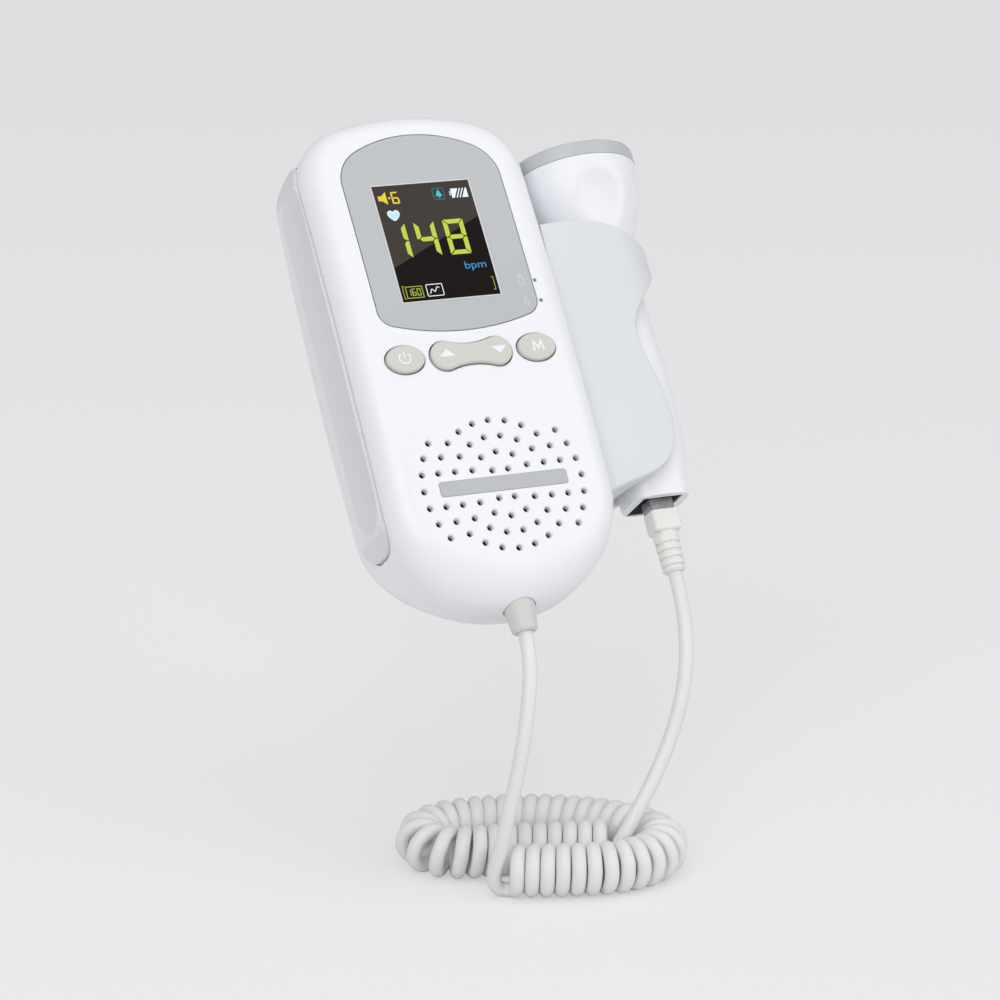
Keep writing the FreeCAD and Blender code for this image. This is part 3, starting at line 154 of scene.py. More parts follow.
guide = spline_through("coil_guide", [(x, y, COIL_HEIGHT) for x, y in coil_ring])
guide_mesh = bpy.data.meshes.new_from_object(guide)
middle = [vertex.co / MM - SPEAKER_PLACE for vertex in guide_mesh.vertices]
bpy.data.meshes.remove(guide_mesh)
bpy.data.objects.remove(guide)
reached, wound, distances = 0.0, [0.0], [0.0]
for here, after in zip(middle, middle[1:]):
    run_length = (after - here).length
    wound.append(wound[-1] + run_length / value_at(reached + run_length / 2, TURN_SPACING))
    reached += run_length
    distances.append(reached)
turn_count = round(wound[-1])
print("ring's middle line:", round(reached, 1), "mm,", turn_count, "turns")

turns = []
step_count = turn_count * STEPS_PER_TURN
span = 0
for step in range(1, step_count + 1):
    share = step / step_count
    while span < len(middle) - 2 and wound[span + 1] < share * wound[-1]:
        span += 1
    run = middle[span + 1] - middle[span]
    centre = middle[span] + run * ((share * wound[-1] - wound[span]) / (wound[span + 1] - wound[span]))
    along = run.normalized()
    outward = along.cross(Vector((0, 0, 1)))
    angle = START_ANGLE + share * (math.tau * turn_count + END_ANGLE - START_ANGLE)
    turns.append(centre + outward * (HELIX_RADIUS * math.cos(angle))
                 + Vector((0, 0, HELIX_RADIUS * math.sin(angle)))
                 - along * (value_at(distances[span], TURN_TILT) * math.sin(angle)))

curly_lead = spline_through("curly_lead", [GLAND_TIP, *main_tail, *turns, *probe_tail, BOOT_TIP],
                            radius=CORD_DIAMETER / 2 * ROUND_TUBE)
lead_mesh = bpy.data.meshes.new_from_object(curly_lead)
bpy.data.meshes.remove(lead_mesh)
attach(curly_lead, "main_unit")
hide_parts("cord_main_tail", "cord_coil", "cord_probe_tail")

# %% [markdown]
# ## A place to stand
# The set is shown against a plain pale ground. The floor is one large sheet at the height of the
# lead's lowest turns. A studio sheet is lit from below as well, so that shadows on it stay faint:
# here half of what the camera sees is its own even tone, and the rest takes light and shadow. It
# is a little darker far away, which gives the picture depth without a horizon.


# %% Colours and nodes
def linear(hex_colour, alpha=1.0):
    """An sRGB colour such as #D0D4D8 as the linear numbers that shaders work with."""
    channels = [int(hex_colour[i:i + 2], 16) / 255 for i in (1, 3, 5)]
    return (*[c / 12.92 if c <= 0.04045 else ((c + 0.055) / 1.055) ** 2.4 for c in channels], alpha)


def darker(hex_colour, share):
    """A share of a colour, as linear numbers."""
    return (*[c * share for c in linear(hex_colour)[:3]], 1.0)


def add(material, kind, settings=None, links=None, into=None):
    """Adds a node, sets its properties and sockets, and links sockets from other nodes' outputs.

    A Mix node may also be put in front of a socket that has a colour already, named by into.
    """
    node = material.node_tree.nodes.new(kind)
    for key, value in (settings or {}).items():
        if isinstance(key, str) and hasattr(node, key):
            setattr(node, key, value)
        else:
            node.inputs[key].default_value = value
    for key, output in (links or {}).items():
        material.node_tree.links.new(output, node.inputs[key])
    if into:
        material.node_tree.links.new(node.outputs[2], into)
    return node


def blank(name):
    """A material with an empty node tree."""
    material = bpy.data.materials.new(name)
    material.use_nodes = True
    material.node_tree.nodes.clear()
    return material


# %% Floor
FLOOR_HEIGHT = -117.35      # mm from the speaker's centre
FLOOR_REACH = 9.0           # m to each side
OWN_TONE = 0.5              # how much of what the camera sees is the sheet's own light
ground = blank("backlit_studio_sheet")
place = add(ground, "ShaderNodeTexCoord")
farther = add(ground, "ShaderNodeVectorMath", {"operation": "DOT_PRODUCT", 1: (0.4, 0.917, 0.0)},
              {0: place.outputs["Object"]})
away = add(ground, "ShaderNodeMapRange", {"From Min": -0.2, "From Max": 1.3},
           {"Value": farther.outputs["Value"]})
fade = add(ground, "ShaderNodeMath", {"operation": "POWER", 1: 0.6}, {0: away.outputs["Result"]})
tone = add(ground, "ShaderNodeMix", {"data_type": "RGBA", 6: linear("#F8F8F8"), 7: linear("#E0E0E1")},
           {0: fade.outputs["Value"]})
matt = add(ground, "ShaderNodeBsdfPrincipled",
           {"Base Color": linear("#ECECEC"), "Roughness": 0.9, "Specular IOR Level": 0.1})
even = add(ground, "ShaderNodeEmission", {"Strength": 1.0}, {"Color": tone.outputs[2]})
seen = add(ground, "ShaderNodeLightPath")
own_light = add(ground, "ShaderNodeMath", {"operation": "MULTIPLY", 1: OWN_TONE},
                {0: seen.outputs["Is Camera Ray"]})
sheet = add(ground, "ShaderNodeMixShader", None,
            {0: own_light.outputs["Value"], 1: matt.outputs["BSDF"], 2: even.outputs["Emission"]})
add(ground, "ShaderNodeOutputMaterial", None, {"Surface": sheet.outputs["Shader"]})

floor_mesh = bpy.data.meshes.new("floor")
level = (FLOOR_HEIGHT + SPEAKER_PLACE.z) * MM
floor_mesh.from_pydata([(x * FLOOR_REACH, y * FLOOR_REACH, level)
                        for x, y in ((-1, -1), (1, -1), (1, 1), (-1, 1))], [], [(0, 1, 2, 3)])
floor_mesh.materials.append(ground)
floor = bpy.data.objects.new("floor", floor_mesh)
bpy.context.scene.collection.objects.link(floor)

# %% [markdown]
# ## Light
# White plastic needs soft light with a clear direction, or its rounded edges vanish. A wide lamp
# on the left lights the flank and the face, a weaker one on the right keeps the probe and the
# lower rounding from going dull, one above draws the top edges, and an even pale sky fills the
# rest. In a low view the camera looks past the floor, and sees a backdrop of the floor's tone.

# %% World and lamps
world = bpy.data.worlds.new("studio")
world.use_nodes = True
sky = world.node_tree.nodes["Background"]
sky.inputs["Color"].default_value = linear("#F4F5F8")
sky.inputs["Strength"].default_value = 0.5
backdrop = add(world, "ShaderNodeBackground", {"Color": linear("#E9E9EA"), "Strength": 1.0})
looked_at = add(world, "ShaderNodeLightPath")
backing = add(world, "ShaderNodeMixShader", None,
              {0: looked_at.outputs["Is Camera Ray"], 1: sky.outputs["Background"],
               2: backdrop.outputs["Background"]})
world.node_tree.links.new(backing.outputs["Shader"],
                          world.node_tree.nodes["World Output"].inputs["Surface"])
bpy.context.scene.world = world


def soft_sun(name, direction, strength, spread):
    """Even light from one side, in degrees of spread; direction points from the set to the light."""
    lamp = bpy.data.lights.new(name, "SUN")
    lamp.energy = strength
    lamp.angle = math.radians(spread)
    made = bpy.data.objects.new(name, lamp)
    made.rotation_euler = Vector(direction).to_track_quat("Z", "Y").to_euler()
    bpy.context.scene.collection.objects.link(made)


soft_sun("light_left", (-0.65, -0.8, 0.75), 0.9, 50)
soft_sun("light_right", (0.7, -0.7, 0.5), 0.55, 50)
soft_sun("light_above", (0.1, -0.15, 1.2), 0.55, 50)

# %% [markdown]
# ## Moulded plastics
# Nearly every visible piece is injection moulded. ABS takes the mould's surface: polished steel
# gives gloss, and a spark-eroded mould gives a fine grain. Real grain is about 0.05 mm, too fine
# for a picture of the whole set, so it is drawn at 0.3 mm or more. Under it lies a faint change
# of tone over a few centimetres, as on any large moulding.


# %% A recipe for moulded plastic
def moulded(name, colour, shade, roughness, grain_mm, relief_mm, **shader):
    """A plastic with a grained skin: two close tones, uneven gloss and a fine relief."""
    material = blank(name)
    where = add(material, "ShaderNodeTexCoord")
    cloud = add(material, "ShaderNodeTexNoise", {"Scale": 1 / (35 * MM), "Detail": 2.0},
                {"Vector": where.outputs["Object"]})
    tones = add(material, "ShaderNodeMix", {"data_type": "RGBA", 6: linear(colour), 7: linear(shade)},
                {0: cloud.outputs["Fac"]})
    grain = add(material, "ShaderNodeTexNoise", {"Scale": 1 / (grain_mm * MM), "Detail": 3.0},
                {"Vector": where.outputs["Object"]})
    gloss = add(material, "ShaderNodeMapRange",
                {"To Min": roughness * 0.92, "To Max": roughness * 1.08},
                {"Value": grain.outputs["Fac"]})
    relief = add(material, "ShaderNodeBump", {"Distance": relief_mm * MM, "Strength": 1.0},
                 {"Height": grain.outputs["Fac"]})
    skin = add(material, "ShaderNodeBsdfPrincipled", {"IOR": 1.53, **shader},
               {"Base Color": tones.outputs[2], "Roughness": gloss.outputs["Result"],
                "Normal": relief.outputs["Normal"]})
    add(material, "ShaderNodeOutputMaterial", None, {"Surface": skin.outputs["BSDF"]})
    return material


def finish(material, *names):
    """Gives a finish to CAD nodes."""
    for name in names:
        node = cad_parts[name]
        if not node.material_slots:
            node.data.materials.append(material)
        for slot in node.material_slots:
            slot.material = material


abs_white = moulded("abs_white_polished", "#F6F7FA", "#F1F2F6", 0.3, 0.5, 0.001)
abs_probe = moulded("abs_white_probe", "#F4F5F9", "#EFF0F5", 0.26, 0.5, 0.001)
abs_holster = moulded("abs_pale_grey_satin", "#E1E3E4", "#DCDEE0", 0.42, 0.45, 0.002)
abs_keys = moulded("abs_warm_grey_keys", "#D6D5CE", "#D0CFC7", 0.4, 0.35, 0.003)
abs_badge = moulded("abs_grey_bar", "#BEC0C1", "#B8BABC", 0.35, 0.4, 0.002)
abs_rim = moulded("abs_grey_ring", "#C4C7CA", "#BEC1C4", 0.26, 0.4, 0.002)
face_resin = moulded("cast_resin_acoustic_face", "#E9EBEC", "#E3E5E7", 0.2, 0.6, 0.001)
pvc_gland = moulded("pvc_gland", "#D8D8D5", "#D1D1CE", 0.4, 0.4, 0.003)
pvc_boot = moulded("pvc_boot_ivory", "#ECECE8", "#E6E6E1", 0.42, 0.4, 0.003)
pvc_cord = moulded("pvc_cord_pale_grey", "#ECEDEC", "#DFE0DF", 0.38, 0.6, 0.002)
finish(abs_white, "front_shell", "rear_shell", "battery_cover")
finish(abs_probe, "probe_front_shell", "probe_rear_shell")
finish(abs_holster, "probe_holster")
finish(abs_keys, "power_button", "volume_rocker", "mode_button")
finish(abs_badge, "speaker_badge")
finish(abs_rim, "probe_rim_ring")
finish(face_resin, "probe_face")
finish(pvc_gland, "cord_gland")
finish(pvc_boot, "plug_boot")
curly_lead.data.materials.append(pvc_cord)

# %% [markdown]
# ## The grip panel
# The left flank carries one moulding with a bright rim round a shallow hollow for the fingers. The
# hollow is painted a little greyer than the rim, as painted shade. How far a place lies inside the
# rim's own level tells the two apart: the hollow is up to 0.9 mm deep.

# %% Grip panel: rim and hollow
RIM_LEVEL = -37.0               # mm, the rim's place on the left flank
FADE_FROM, FADE_TO = 0.02, 0.3  # mm inside that level, where the tone changes
grip_abs = moulded("abs_grip_panel", "#E6E7EB", "#E1E2E7", 0.5, 0.4, 0.004)
grip_shader = next(node for node in grip_abs.node_tree.nodes if node.type == "BSDF_PRINCIPLED")
grip_place = add(grip_abs, "ShaderNodeTexCoord")
grip_axes = add(grip_abs, "ShaderNodeSeparateXYZ", None, {0: grip_place.outputs["Object"]})
# Painted shade: from 0.02 to 0.3 mm inside the rim's level the colour goes from the rim's #F0F1F4 to
# the grip's greyer tones.
hollow = add(grip_abs, "ShaderNodeMapRange",
             {"From Min": (RIM_LEVEL + FADE_FROM) * MM, "From Max": (RIM_LEVEL + FADE_TO) * MM},
             {"Value": grip_axes.outputs["X"]})
hollow_shade_colour = grip_shader.inputs["Base Color"].links[0].from_socket
add(grip_abs, "ShaderNodeMix", {"data_type": "RGBA", 6: linear("#F0F1F4")},
    {0: hollow.outputs["Result"], 7: hollow_shade_colour}, into=grip_shader.inputs["Base Color"])
finish(grip_abs, "side_grip_panel")

# %% [markdown]
# ## The lens and the screen
# The window over the screen is acrylic, printed grey on its back round the opening. Acrylic is
# polished, so the grey shows a hard reflection over a soft colour: a clear coat does that.

# %% Acrylic lens
acrylic_lens = moulded("acrylic_lens_grey_back", "#BEC1C2", "#BABDBF", 0.4, 0.5, 0.0005,
                       **{"Coat Weight": 0.35, "Coat Roughness": 0.06, "Coat IOR": 1.49})
finish(acrylic_lens, "screen_window")

# %% [markdown]
# ## Inner pieces
# They show only when the battery cover is open or the probe is out, and through the grille.

# %% Metals and dark inner pieces
def plated(name, colour, roughness, brush_mm):
    """A plated or rolled metal with fine streaks along z."""
    material = blank(name)
    where = add(material, "ShaderNodeTexCoord")
    stretch = add(material, "ShaderNodeMapping",
                  {"Scale": (1 / (brush_mm * MM), 1 / (brush_mm * MM), 1 / (12 * brush_mm * MM))},
                  {"Vector": where.outputs["Object"]})
    streaks = add(material, "ShaderNodeTexNoise", {"Scale": 1.0, "Detail": 2.0},
                  {"Vector": stretch.outputs["Vector"]})
    gloss = add(material, "ShaderNodeMapRange", {"To Min": roughness * 0.7, "To Max": roughness * 1.3},
                {"Value": streaks.outputs["Fac"]})
    tones = add(material, "ShaderNodeMix",
                {"data_type": "RGBA", 6: linear(colour), 7: darker(colour, 0.85)},
                {0: streaks.outputs["Fac"]})
    metal = add(material, "ShaderNodeBsdfPrincipled", {"Metallic": 1.0},
                {"Base Color": tones.outputs[2], "Roughness": gloss.outputs["Result"]})
    add(material, "ShaderNodeOutputMaterial", None, {"Surface": metal.outputs["BSDF"]})
    return material


zinc_steel = plated("zinc_plated_steel", "#C6C8CA", 0.35, 0.15)
nickel = plated("nickel_plated_steel", "#D6D3CB", 0.22, 0.12)
gold = plated("gold_plated_bronze", "#E2B45C", 0.25, 0.1)
paper_cone = moulded("pressed_paper_cone", "#2A2A2C", "#202022", 0.8, 0.5, 0.03)
ferrite = moulded("sintered_ferrite", "#3A3A3E", "#2E2E32", 0.6, 0.4, 0.01)
solder_mask = moulded("green_solder_mask", "#1E6B45", "#175A3A", 0.3, 0.8, 0.01)
black_nylon = moulded("black_nylon", "#17171A", "#121214", 0.7, 0.3, 0.008,
                      **{"Specular IOR Level": 0.1})
epoxy_backing = moulded("epoxy_backing", "#2B2B2D", "#232325", 0.6, 0.4, 0.01)
silvered_ceramic = moulded("silvered_ceramic", "#D9D2BC", "#CFC8B0", 0.4, 0.3, 0.006)
lcd_glass = moulded("lcd_glass_dark", "#15161A", "#101115", 0.12, 1.0, 0.001)
light_pipe = moulded("acrylic_light_pipe", "#84878C", "#7A7D83", 0.2, 0.5, 0.002)
cell_wrap = moulded("printed_cell_wrap", "#3A4A5E", "#334257", 0.3, 1.0, 0.002)
finish(zinc_steel, "speaker_frame", "case_screws", "probe_screws")
finish(nickel, "battery_contacts")
finish(gold, "plug_contacts")
finish(paper_cone, "speaker_cone")
finish(ferrite, "speaker_magnet")
finish(solder_mask, "main_board", "probe_board")
finish(black_nylon, "key_switches", "probe_jack")
finish(epoxy_backing, "backing_disc")
finish(silvered_ceramic, "transmit_crystal", "receive_crystal")
finish(lcd_glass, "display_module")
finish(light_pipe, "indicator_lights")
finish(cell_wrap, "battery_cell_left", "battery_cell_right")

# %% [markdown]
# ## The clear plug
# A handset plug is clear polycarbonate. Light goes through it, so it shows the wires and what
# lies behind it; a trace of roughness keeps it from looking like cut glass.

# %% Polycarbonate
polycarbonate = blank("clear_polycarbonate")
plug_place = add(polycarbonate, "ShaderNodeTexCoord")
ripple = add(polycarbonate, "ShaderNodeTexNoise", {"Scale": 1 / (1.5 * MM), "Detail": 1.0},
             {"Vector": plug_place.outputs["Object"]})
uneven = add(polycarbonate, "ShaderNodeBump", {"Distance": 0.01 * MM, "Strength": 1.0},
             {"Height": ripple.outputs["Fac"]})
clear = add(polycarbonate, "ShaderNodeBsdfPrincipled",
            {"Base Color": linear("#E9ECEE"), "Roughness": 0.12, "IOR": 1.58,
             "Transmission Weight": 0.75},
            {"Normal": uneven.outputs["Normal"]})
add(polycarbonate, "ShaderNodeOutputMaterial", None, {"Surface": clear.outputs["BSDF"]})
finish(polycarbonate, "plug_body", "plug_latch")

# %% [markdown]
# ## Signs and the lit picture
# The signs on the keys are pad printed, and the picture on the screen shines through the lens.
# Both are flat shapes on a bowed surface. Each is drawn as outlines in mm on the unit's face,
# laid on the piece below by a ray from the front, and given a hair of thickness.


# %% Lay flat shapes on a surface
IN_FRONT = 20        # mm in front of the speaker's centre, where the rays start
trees = {}


def depth_on(node, x, z):
    """Depth of a CAD node's front at a place on the unit's face, in mm."""
    if node not in trees:
        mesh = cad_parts[node].data
        trees[node] = BVHTree.FromPolygons([v.co for v in mesh.vertices],
                                           [tuple(p.vertices) for p in mesh.polygons])
    hit, _, _, distance = trees[node].ray_cast(held @ Vector((x, -IN_FRONT, z)), INTO_FACE)
    return distance / MM - IN_FRONT if hit else 0.0


def laid(name, outlines, node, lift, thickness, material, body):
    """One piece from flat polygons, raised from a node's front, in mm."""
    corners, faces, spots = [], [], {}
    for outline in outlines:
        face = []
        for x, z in outline:
            key = (round(x, 3), round(z, 3))
            if key not in spots:
                spots[key] = len(corners)
                corners.append(key)
            face.append(spots[key])
        area = sum(corners[a][0] * corners[b][1] - corners[b][0] * corners[a][1]
                   for a, b in zip(face, face[1:] + face[:1]))
        faces.append(face if area > 0 else face[::-1])
    edges = dict.fromkeys((a, b) for face in faces for a, b in zip(face, face[1:] + face[:1]))
    count = len(corners)
    depth = [depth_on(node, x, z) - lift for x, z in corners]
    points = [held @ Vector((x, y - thickness, z)) for (x, z), y in zip(corners, depth)]
    points += [held @ Vector((x, y, z)) for (x, z), y in zip(corners, depth)]
    skin = faces + [[i + count for i in reversed(face)] for face in faces]
    skin += [[b, a, a + count, b + count] for a, b in edges if (b, a) not in edges]
    mesh = bpy.data.meshes.new(name)
    mesh.from_pydata(points, [], skin)
    mesh.materials.append(material)
    piece = bpy.data.objects.new(name, mesh)
    bpy.context.scene.collection.objects.link(piece)
    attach(piece, body)
    return piece


def stroke(points, width, closed=False):
    """A line of even width as a strip of quads."""
    line = [Vector(p) for p in points]
    count = len(line)
    sides = []
    for i, here in enumerate(line):
        before = line[i - 1] if i or closed else here
        after = line[(i + 1) % count] if i < count - 1 or closed else here
        into = (here - before).normalized() if before != here else (after - here).normalized()
        out = (after - here).normalized() if after != here else into
        across = Vector((-into.y - out.y, into.x + out.x)).normalized()
        stretch = 1 / max(0.5, across.dot(Vector((-into.y, into.x))))
        half = across * (width / 2 * stretch)
        sides.append((here + half, here - half))
    pairs = list(zip(sides, sides[1:] + sides[:1])) if closed else list(zip(sides, sides[1:]))
    return [[a[0], b[0], b[1], a[1]] for a, b in pairs]


def on_circle(x, z, radius, degrees):
    """A place on a circle about x, z."""
    angle = math.radians(degrees)
    return x + radius * math.cos(angle), z + radius * math.sin(angle)


def rounded(width, height, radius):
    """Outline of a rounded rectangle about 0, 0, in mm."""
    side, top = width / 2 - radius, height / 2 - radius
    return [on_circle(x, z, radius, start + turn)
            for x, z, start in ((side, top, 0), (-side, top, 90), (-side, -top, 180), (side, -top, 270))
            for turn in (0, 30, 60, 90)]


def lettering(text, width, height, centre_x, centre_z):
    """The faces of a few letters in a plain face, scaled to a width and height in mm."""
    curve = bpy.data.curves.new("letters", "FONT")
    curve.body = text
    made = bpy.data.objects.new("letters", curve)
    mesh = bpy.data.meshes.new_from_object(made)
    xs = [v.co.x for v in mesh.vertices]
    ys = [v.co.y for v in mesh.vertices]
    across, up = width / (max(xs) - min(xs)), height / (max(ys) - min(ys))
    middle_x, middle_y = (min(xs) + max(xs)) / 2, (min(ys) + max(ys)) / 2
    shapes = [[(centre_x + (mesh.vertices[i].co.x - middle_x) * across,
                centre_z + (mesh.vertices[i].co.y - middle_y) * up) for i in face.vertices]
              for face in mesh.polygons]
    bpy.data.meshes.remove(mesh)
    bpy.data.objects.remove(made)
    return shapes


# %% Inks and light
def shining(name, colour, glow):
    """A lit part of the screen: its colour, with a little light of its own."""
    material = blank(name)
    where = add(material, "ShaderNodeTexCoord")
    speckle = add(material, "ShaderNodeTexNoise", {"Scale": 1 / (0.4 * MM), "Detail": 1.0},
                  {"Vector": where.outputs["Object"]})
    tones = add(material, "ShaderNodeMix",
                {"data_type": "RGBA", 6: linear(colour), 7: darker(colour, 0.88)},
                {0: speckle.outputs["Fac"]})
    lit = add(material, "ShaderNodeBsdfPrincipled", {"Roughness": 0.3, "Emission Strength": glow},
              {"Base Color": tones.outputs[2], "Emission Color": tones.outputs[2]})
    add(material, "ShaderNodeOutputMaterial", None, {"Surface": lit.outputs["BSDF"]})
    return material


white_ink = moulded("pad_printed_white_ink", "#F6F7F8", "#EFF0F2", 0.45, 0.3, 0.004)
pale_ink = moulded("screen_printed_pale_ink", "#DDE0E1", "#D7DADB", 0.4, 0.3, 0.002)
silver_line = moulded("silver_border_print", "#DADDDE", "#D0D3D4", 0.35, 0.3, 0.002)
green_segments = shining("lit_segments_yellow_green", "#BECD36", 0.12)
yellow_light = shining("lit_sign_yellow", "#E9C81C", 0.12)
blue_light = shining("lit_sign_blue", "#1590D0", 0.12)
cyan_light = shining("lit_sign_cyan", "#2CC2E0", 0.15)
teal_light = shining("lit_sign_teal", "#1C7F98", 0.1)
ice_light = shining("lit_sign_ice_blue", "#BFE0F2", 0.15)
white_light = shining("lit_sign_white", "#E9F2F5", 0.15)
olive_light = shining("lit_sign_olive", "#A9B33A", 0.08)

# %% Screen: the dark panel with its pale border
SCREEN_LEFT, SCREEN_TOP = -16.95, 99.1
SCREEN_WIDTH, SCREEN_HEIGHT = 31.7, 39.6
COLUMNS, ROWS = 6, 12       # flat cells, so that the panel follows the bowed lens
BORDER_WIDTH = 0.4


def on_screen(u, v):
    """A place on the screen, u across and v down, each from 0 to 1, as mm on the face."""
    return SCREEN_LEFT + u * SCREEN_WIDTH, SCREEN_TOP - v * SCREEN_HEIGHT


# A painted reflection: the screen's ground is lighter across its upper left, up to a straight edge, as
# the acrylic's sheen would be.
edge_low, edge_high = [held @ Vector((x, 0, z)) for x, z in (on_screen(0, 0.71), on_screen(1, 0.32))]
across_edge = (-INTO_FACE).cross((edge_high - edge_low).normalized())
if across_edge.z < 0:
    across_edge = -across_edge
offset = across_edge.dot(edge_low) / MM
screen_black = blank("screen_behind_acrylic")
screen_place = add(screen_black, "ShaderNodeTexCoord")
sweep = add(screen_black, "ShaderNodeVectorMath", {"operation": "DOT_PRODUCT", 1: across_edge / MM},
            {0: screen_place.outputs["Object"]})
reflection_edge_mask = add(screen_black, "ShaderNodeMapRange",
              {"From Min": offset - 0.05, "From Max": offset + 0.05}, {"Value": sweep.outputs["Value"]})
# Painted reflection: #443E3A above the straight edge, the dark ground #1C1514 below it.
painted_reflection = add(screen_black, "ShaderNodeMix",
            {"data_type": "RGBA", 6: linear("#1C1514"), 7: linear("#443E3A")},
            {0: reflection_edge_mask.outputs["Result"]})
dark = add(screen_black, "ShaderNodeBsdfPrincipled",
           {"Roughness": 0.35, "IOR": 1.49, "Specular IOR Level": 0.05},
           {"Base Color": painted_reflection.outputs[2]})
add(screen_black, "ShaderNodeOutputMaterial", None, {"Surface": dark.outputs["BSDF"]})

cells = [[on_screen((i + right) / COLUMNS, (j + below) / ROWS)
          for right, below in ((0, 0), (1, 0), (1, 1), (0, 1))]
         for i in range(COLUMNS) for j in range(ROWS)]
laid("screen_picture_ground", cells, "screen_window", 0.02, 0.06, screen_black, "main_unit")
rim = [on_screen(0, j / ROWS) for j in range(ROWS + 1)]
rim += [on_screen(1, 1 - j / ROWS) for j in range(ROWS + 1)]
laid("screen_border", stroke(rim, BORDER_WIDTH, closed=True), "screen_window", 0.03, 0.06,
     silver_line, "main_unit")

# %% Numbers made of seven bars
BARS_OF = {"0": "abcdef", "1": "bc", "4": "bcfg", "6": "acdefg", "8": "abcdefg"}


def seven_bars(figure, left, base, width, height, bar, gap):
    """Outlines of the lit bars of one figure, in mm."""
    half = height / 2
    far = width - bar - gap
    top = [(gap, height), (width - gap, height), (far, height - bar), (bar + gap, height - bar)]
    upper = [(0, height - gap), (bar, height - bar - gap), (bar, half + bar / 2 + gap),
             (bar / 2, half + gap), (0, half + gap)]
    centre = [(bar / 2 + gap, half), (bar + gap, half + bar / 2), (far, half + bar / 2),
              (width - bar / 2 - gap, half), (far, half - bar / 2), (bar + gap, half - bar / 2)]
    right = [(width - x, z) for x, z in upper]
    bars = {"a": top, "f": upper, "b": right, "g": centre, "d": [(x, height - z) for x, z in top],
            "e": [(x, height - z) for x, z in upper], "c": [(x, height - z) for x, z in right]}
    return [[(left + x, base + z) for x, z in bars[letter]] for letter in BARS_OF[figure]]


def lit_sign(name, outlines, light, lift=0.09, thickness=0.05):
    """A sign of the lit picture, a hair in front of the lens."""
    return laid(name, outlines, "screen_window", lift, thickness, light, "main_unit")


figures = []
for figure, u_left, u_right in (("1", 0.028, 0.229), ("4", 0.317, 0.522), ("8", 0.612, 0.82)):
    figures += seven_bars(figure, *on_screen(u_left, 0.635), (u_right - u_left) * SCREEN_WIDTH,
                          0.30 * SCREEN_HEIGHT, 1.45, 0.2)
lit_sign("screen_rate", figures, green_segments)

# %% Small signs on the screen
HORN_AT, HORN_SCALE = (0.104, 0.113), 1.12      # each place as u, v
LEVEL_FOOT = (0.176, 0.166)
ALARM_AT = (0.658, 0.109)
UNIT_AT = (0.822, 0.742)
HEART_AT, HEART_SCALE = (0.15, 0.262), 0.9
CHARGE_AT = (0.866, 0.114)
LIMIT_AT = (0.145, 0.918)
TRACE_AT = (0.35, 0.914)


def shape_at(place, points, scale=1.0):
    """Moves an outline given in mm to a place on the screen."""
    x, z = on_screen(*place)
    return [(x + px * scale, z + pz * scale) for px, pz in points]


horn = [shape_at(HORN_AT, part, HORN_SCALE)
        for part in ([(-1.75, -0.75), (-0.75, -0.75), (-0.75, 0.75), (-1.75, 0.75)],
                     [(-0.75, -0.75), (0.65, -1.95), (0.65, 1.95), (-0.75, 0.75)],
                     [(1.15, -0.3), (1.7, -0.3), (1.7, 0.3), (1.15, 0.3)])]
lit_sign("screen_volume", horn + seven_bars("6", *on_screen(*LEVEL_FOOT), 2.35, 4.1, 0.52, 0.05),
         yellow_light)

bell = [(-1.15, -0.75), (1.15, -0.75), (0.8, -0.3), (0.5, 0.7), (0.0, 1.45), (-0.5, 0.7),
        (-0.8, -0.3)]
clapper = [(-0.4, -1.3), (0.4, -1.3), (0.4, -1.0), (-0.4, -1.0)]
lit_sign("screen_alarm_frame", stroke(shape_at(ALARM_AT, rounded(3.6, 3.9, 0.7)), 0.16, closed=True),
         teal_light)
lit_sign("screen_alarm", [shape_at(ALARM_AT, bell), shape_at(ALARM_AT, clapper)], cyan_light)

lit_sign("screen_unit", lettering("bpm", 6.8, 3.2, *on_screen(*UNIT_AT)), blue_light)

lobe = [(0.5, 1.55), (1.15, 1.75), (1.75, 1.4), (2.05, 0.7), (1.95, -0.05), (1.5, -0.8),
        (0.85, -1.45), (0.3, -1.9)]
heart = shape_at(HEART_AT, [(0.0, 1.05), *lobe, (0.0, -2.0), *[(-x, z) for x, z in reversed(lobe)]],
                 HEART_SCALE)
lit_sign("screen_heart", [heart], ice_light)
lit_sign("screen_heart_line", stroke(heart, 0.26, closed=True), white_light, 0.13, 0.04)

BAR_LEAN = 1.6          # mm, from the foot of a charge bar to its head
BAR_HALF = 1.6          # mm, half the height of a bar
bars = [(-2.5, -1.75, -1.75 + BAR_LEAN, -2.5)]      # foot from, foot to, head to, head from
bars += [(x, x + 0.4, x + 0.4 + BAR_LEAN, x + BAR_LEAN) for x in (-1.2, -0.25)]
bars += [(0.7, 2.7, 2.7, 0.7 + BAR_LEAN)]
charge = [[(a, -BAR_HALF), (b, -BAR_HALF), (c, BAR_HALF), (d, BAR_HALF)] for a, b, c, d in bars]
charge += [[(-3.05, -0.75), (-2.75, -0.75), (-2.75, 0.75), (-3.05, 0.75)]]
lit_sign("screen_charge", [shape_at(CHARGE_AT, bar) for bar in charge], white_light)

bracket = [(0.35, 2.1), (-0.3, 2.1), (-0.3, -2.1), (0.35, -2.1)]
box = [(-2.6, -1.85), (2.6, -1.85), (2.6, 1.85), (-2.6, 1.85)]
olive = stroke(shape_at((0.044, 0.915), bracket), 0.2)
olive += stroke(shape_at((0.949, 0.90), [(-x, z) for x, z in bracket]), 0.2)
olive += stroke(shape_at(LIMIT_AT, box), 0.25, closed=True)
left, base = on_screen(*LIMIT_AT)
for i, figure in enumerate("160"):
    olive += seven_bars(figure, left - 2.35 + 1.55 * i, base - 1.2, 1.25, 2.4, 0.3, 0.03)
lit_sign("screen_limit", olive, olive_light)

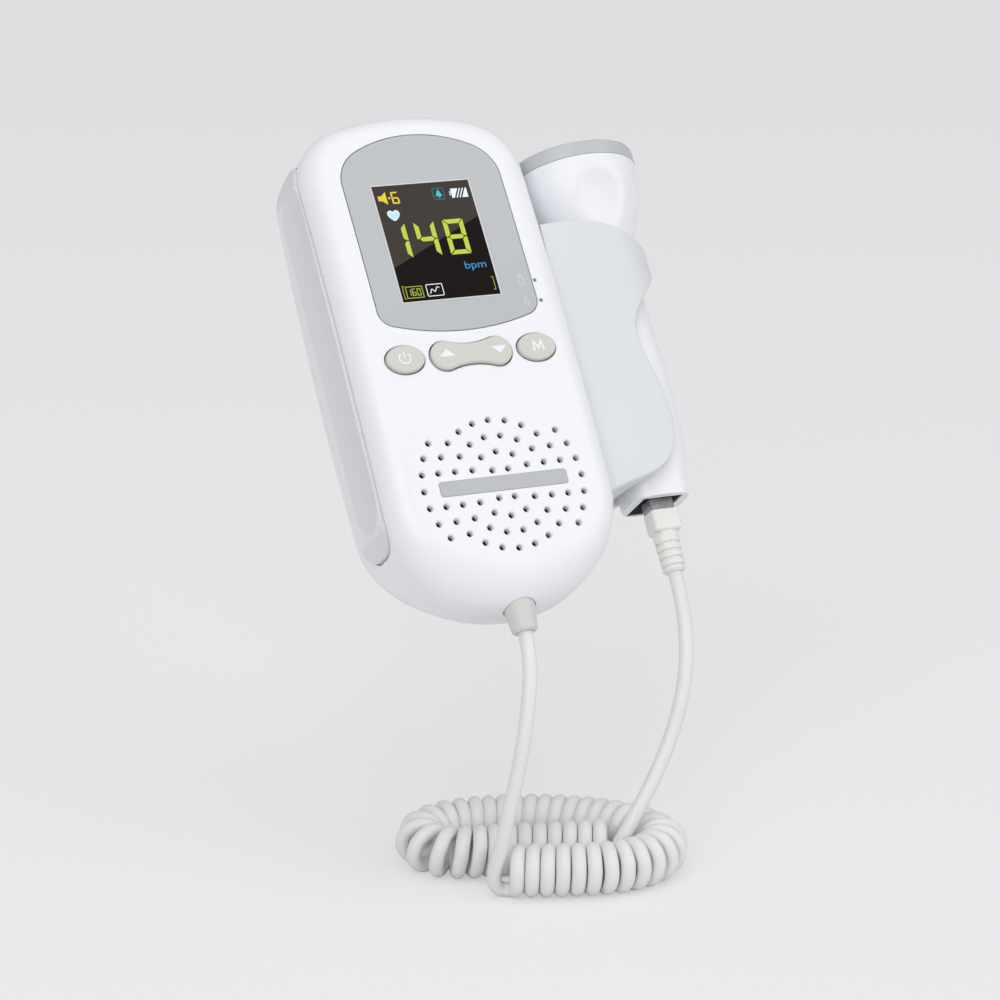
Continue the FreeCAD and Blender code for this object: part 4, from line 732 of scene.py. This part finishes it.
knots = [(-1.75, -1.1), (-0.9, 0.35), (-0.1, -0.5), (1.0, 1.0), (1.7, 0.6)]
STEPS_PER_WAVE = 6
wave = []
for (x, z), (next_x, next_z) in zip(knots, knots[1:]):
    for i in range(STEPS_PER_WAVE):
        ease = (1 - math.cos(math.pi * i / STEPS_PER_WAVE)) / 2
        wave.append((x + (next_x - x) * i / STEPS_PER_WAVE, z + (next_z - z) * ease))
trace = stroke(shape_at(TRACE_AT, rounded(5.1, 3.8, 0.25)), 0.25, closed=True)
lit_sign("screen_trace", trace + stroke(shape_at(TRACE_AT, wave), 0.26), white_light)

# %% Pale signs beside the two lights
cell_sign = stroke([(21.4, 61.9), (22.8, 61.9), (22.8, 64.9), (21.4, 64.9)], 0.26, closed=True)
cell_sign += [[(21.8, 65.1), (22.4, 65.1), (22.4, 65.5), (21.8, 65.5)]]
drop = [on_circle(22.1, 56.2, 0.75, degrees) for degrees in range(120, 421, 20)]
drop_sign = stroke(drop + [(22.1, 57.9)], 0.24, closed=True)
laid("window_signs", cell_sign + drop_sign, "screen_window", 0.01, 0.04, pale_ink, "main_unit")

# %% Signs on the keys
KEY_ROW = 41.3                  # mm above the speaker's centre
POWER_X, POWER_Z = -21.3, KEY_ROW + 0.2
MODE_X = 21.2


def key_sign(name, outlines, key, body):
    """A pad printed sign on a key."""
    return laid(name, outlines, key, 0.005, 0.03, white_ink, body)


arc = [on_circle(POWER_X, POWER_Z, 1.75, degrees) for degrees in range(125, 416, 15)]
power_sign = stroke(arc, 0.45) + stroke([(POWER_X, POWER_Z + 2.1), (POWER_X, POWER_Z + 0.1)], 0.45)
key_sign("power_sign", power_sign, "power_button", "power_key")
arrows = [[(-10.4, KEY_ROW - 0.55), (-5.5, KEY_ROW - 0.55), (-7.95, KEY_ROW + 1.85)],
          [(6.45, KEY_ROW + 1.25), (8.85, KEY_ROW - 1.15), (11.2, KEY_ROW + 1.25)]]
key_sign("volume_signs", arrows, "volume_rocker", "volume_key")
letter_m = [(MODE_X + x, KEY_ROW + z)
            for x, z in ((-1.55, -1.5), (-1.2, 1.45), (0, -0.7), (1.2, 1.45), (1.55, -1.5))]
key_sign("mode_sign", stroke(letter_m, 0.72), "mode_button", "mode_key")
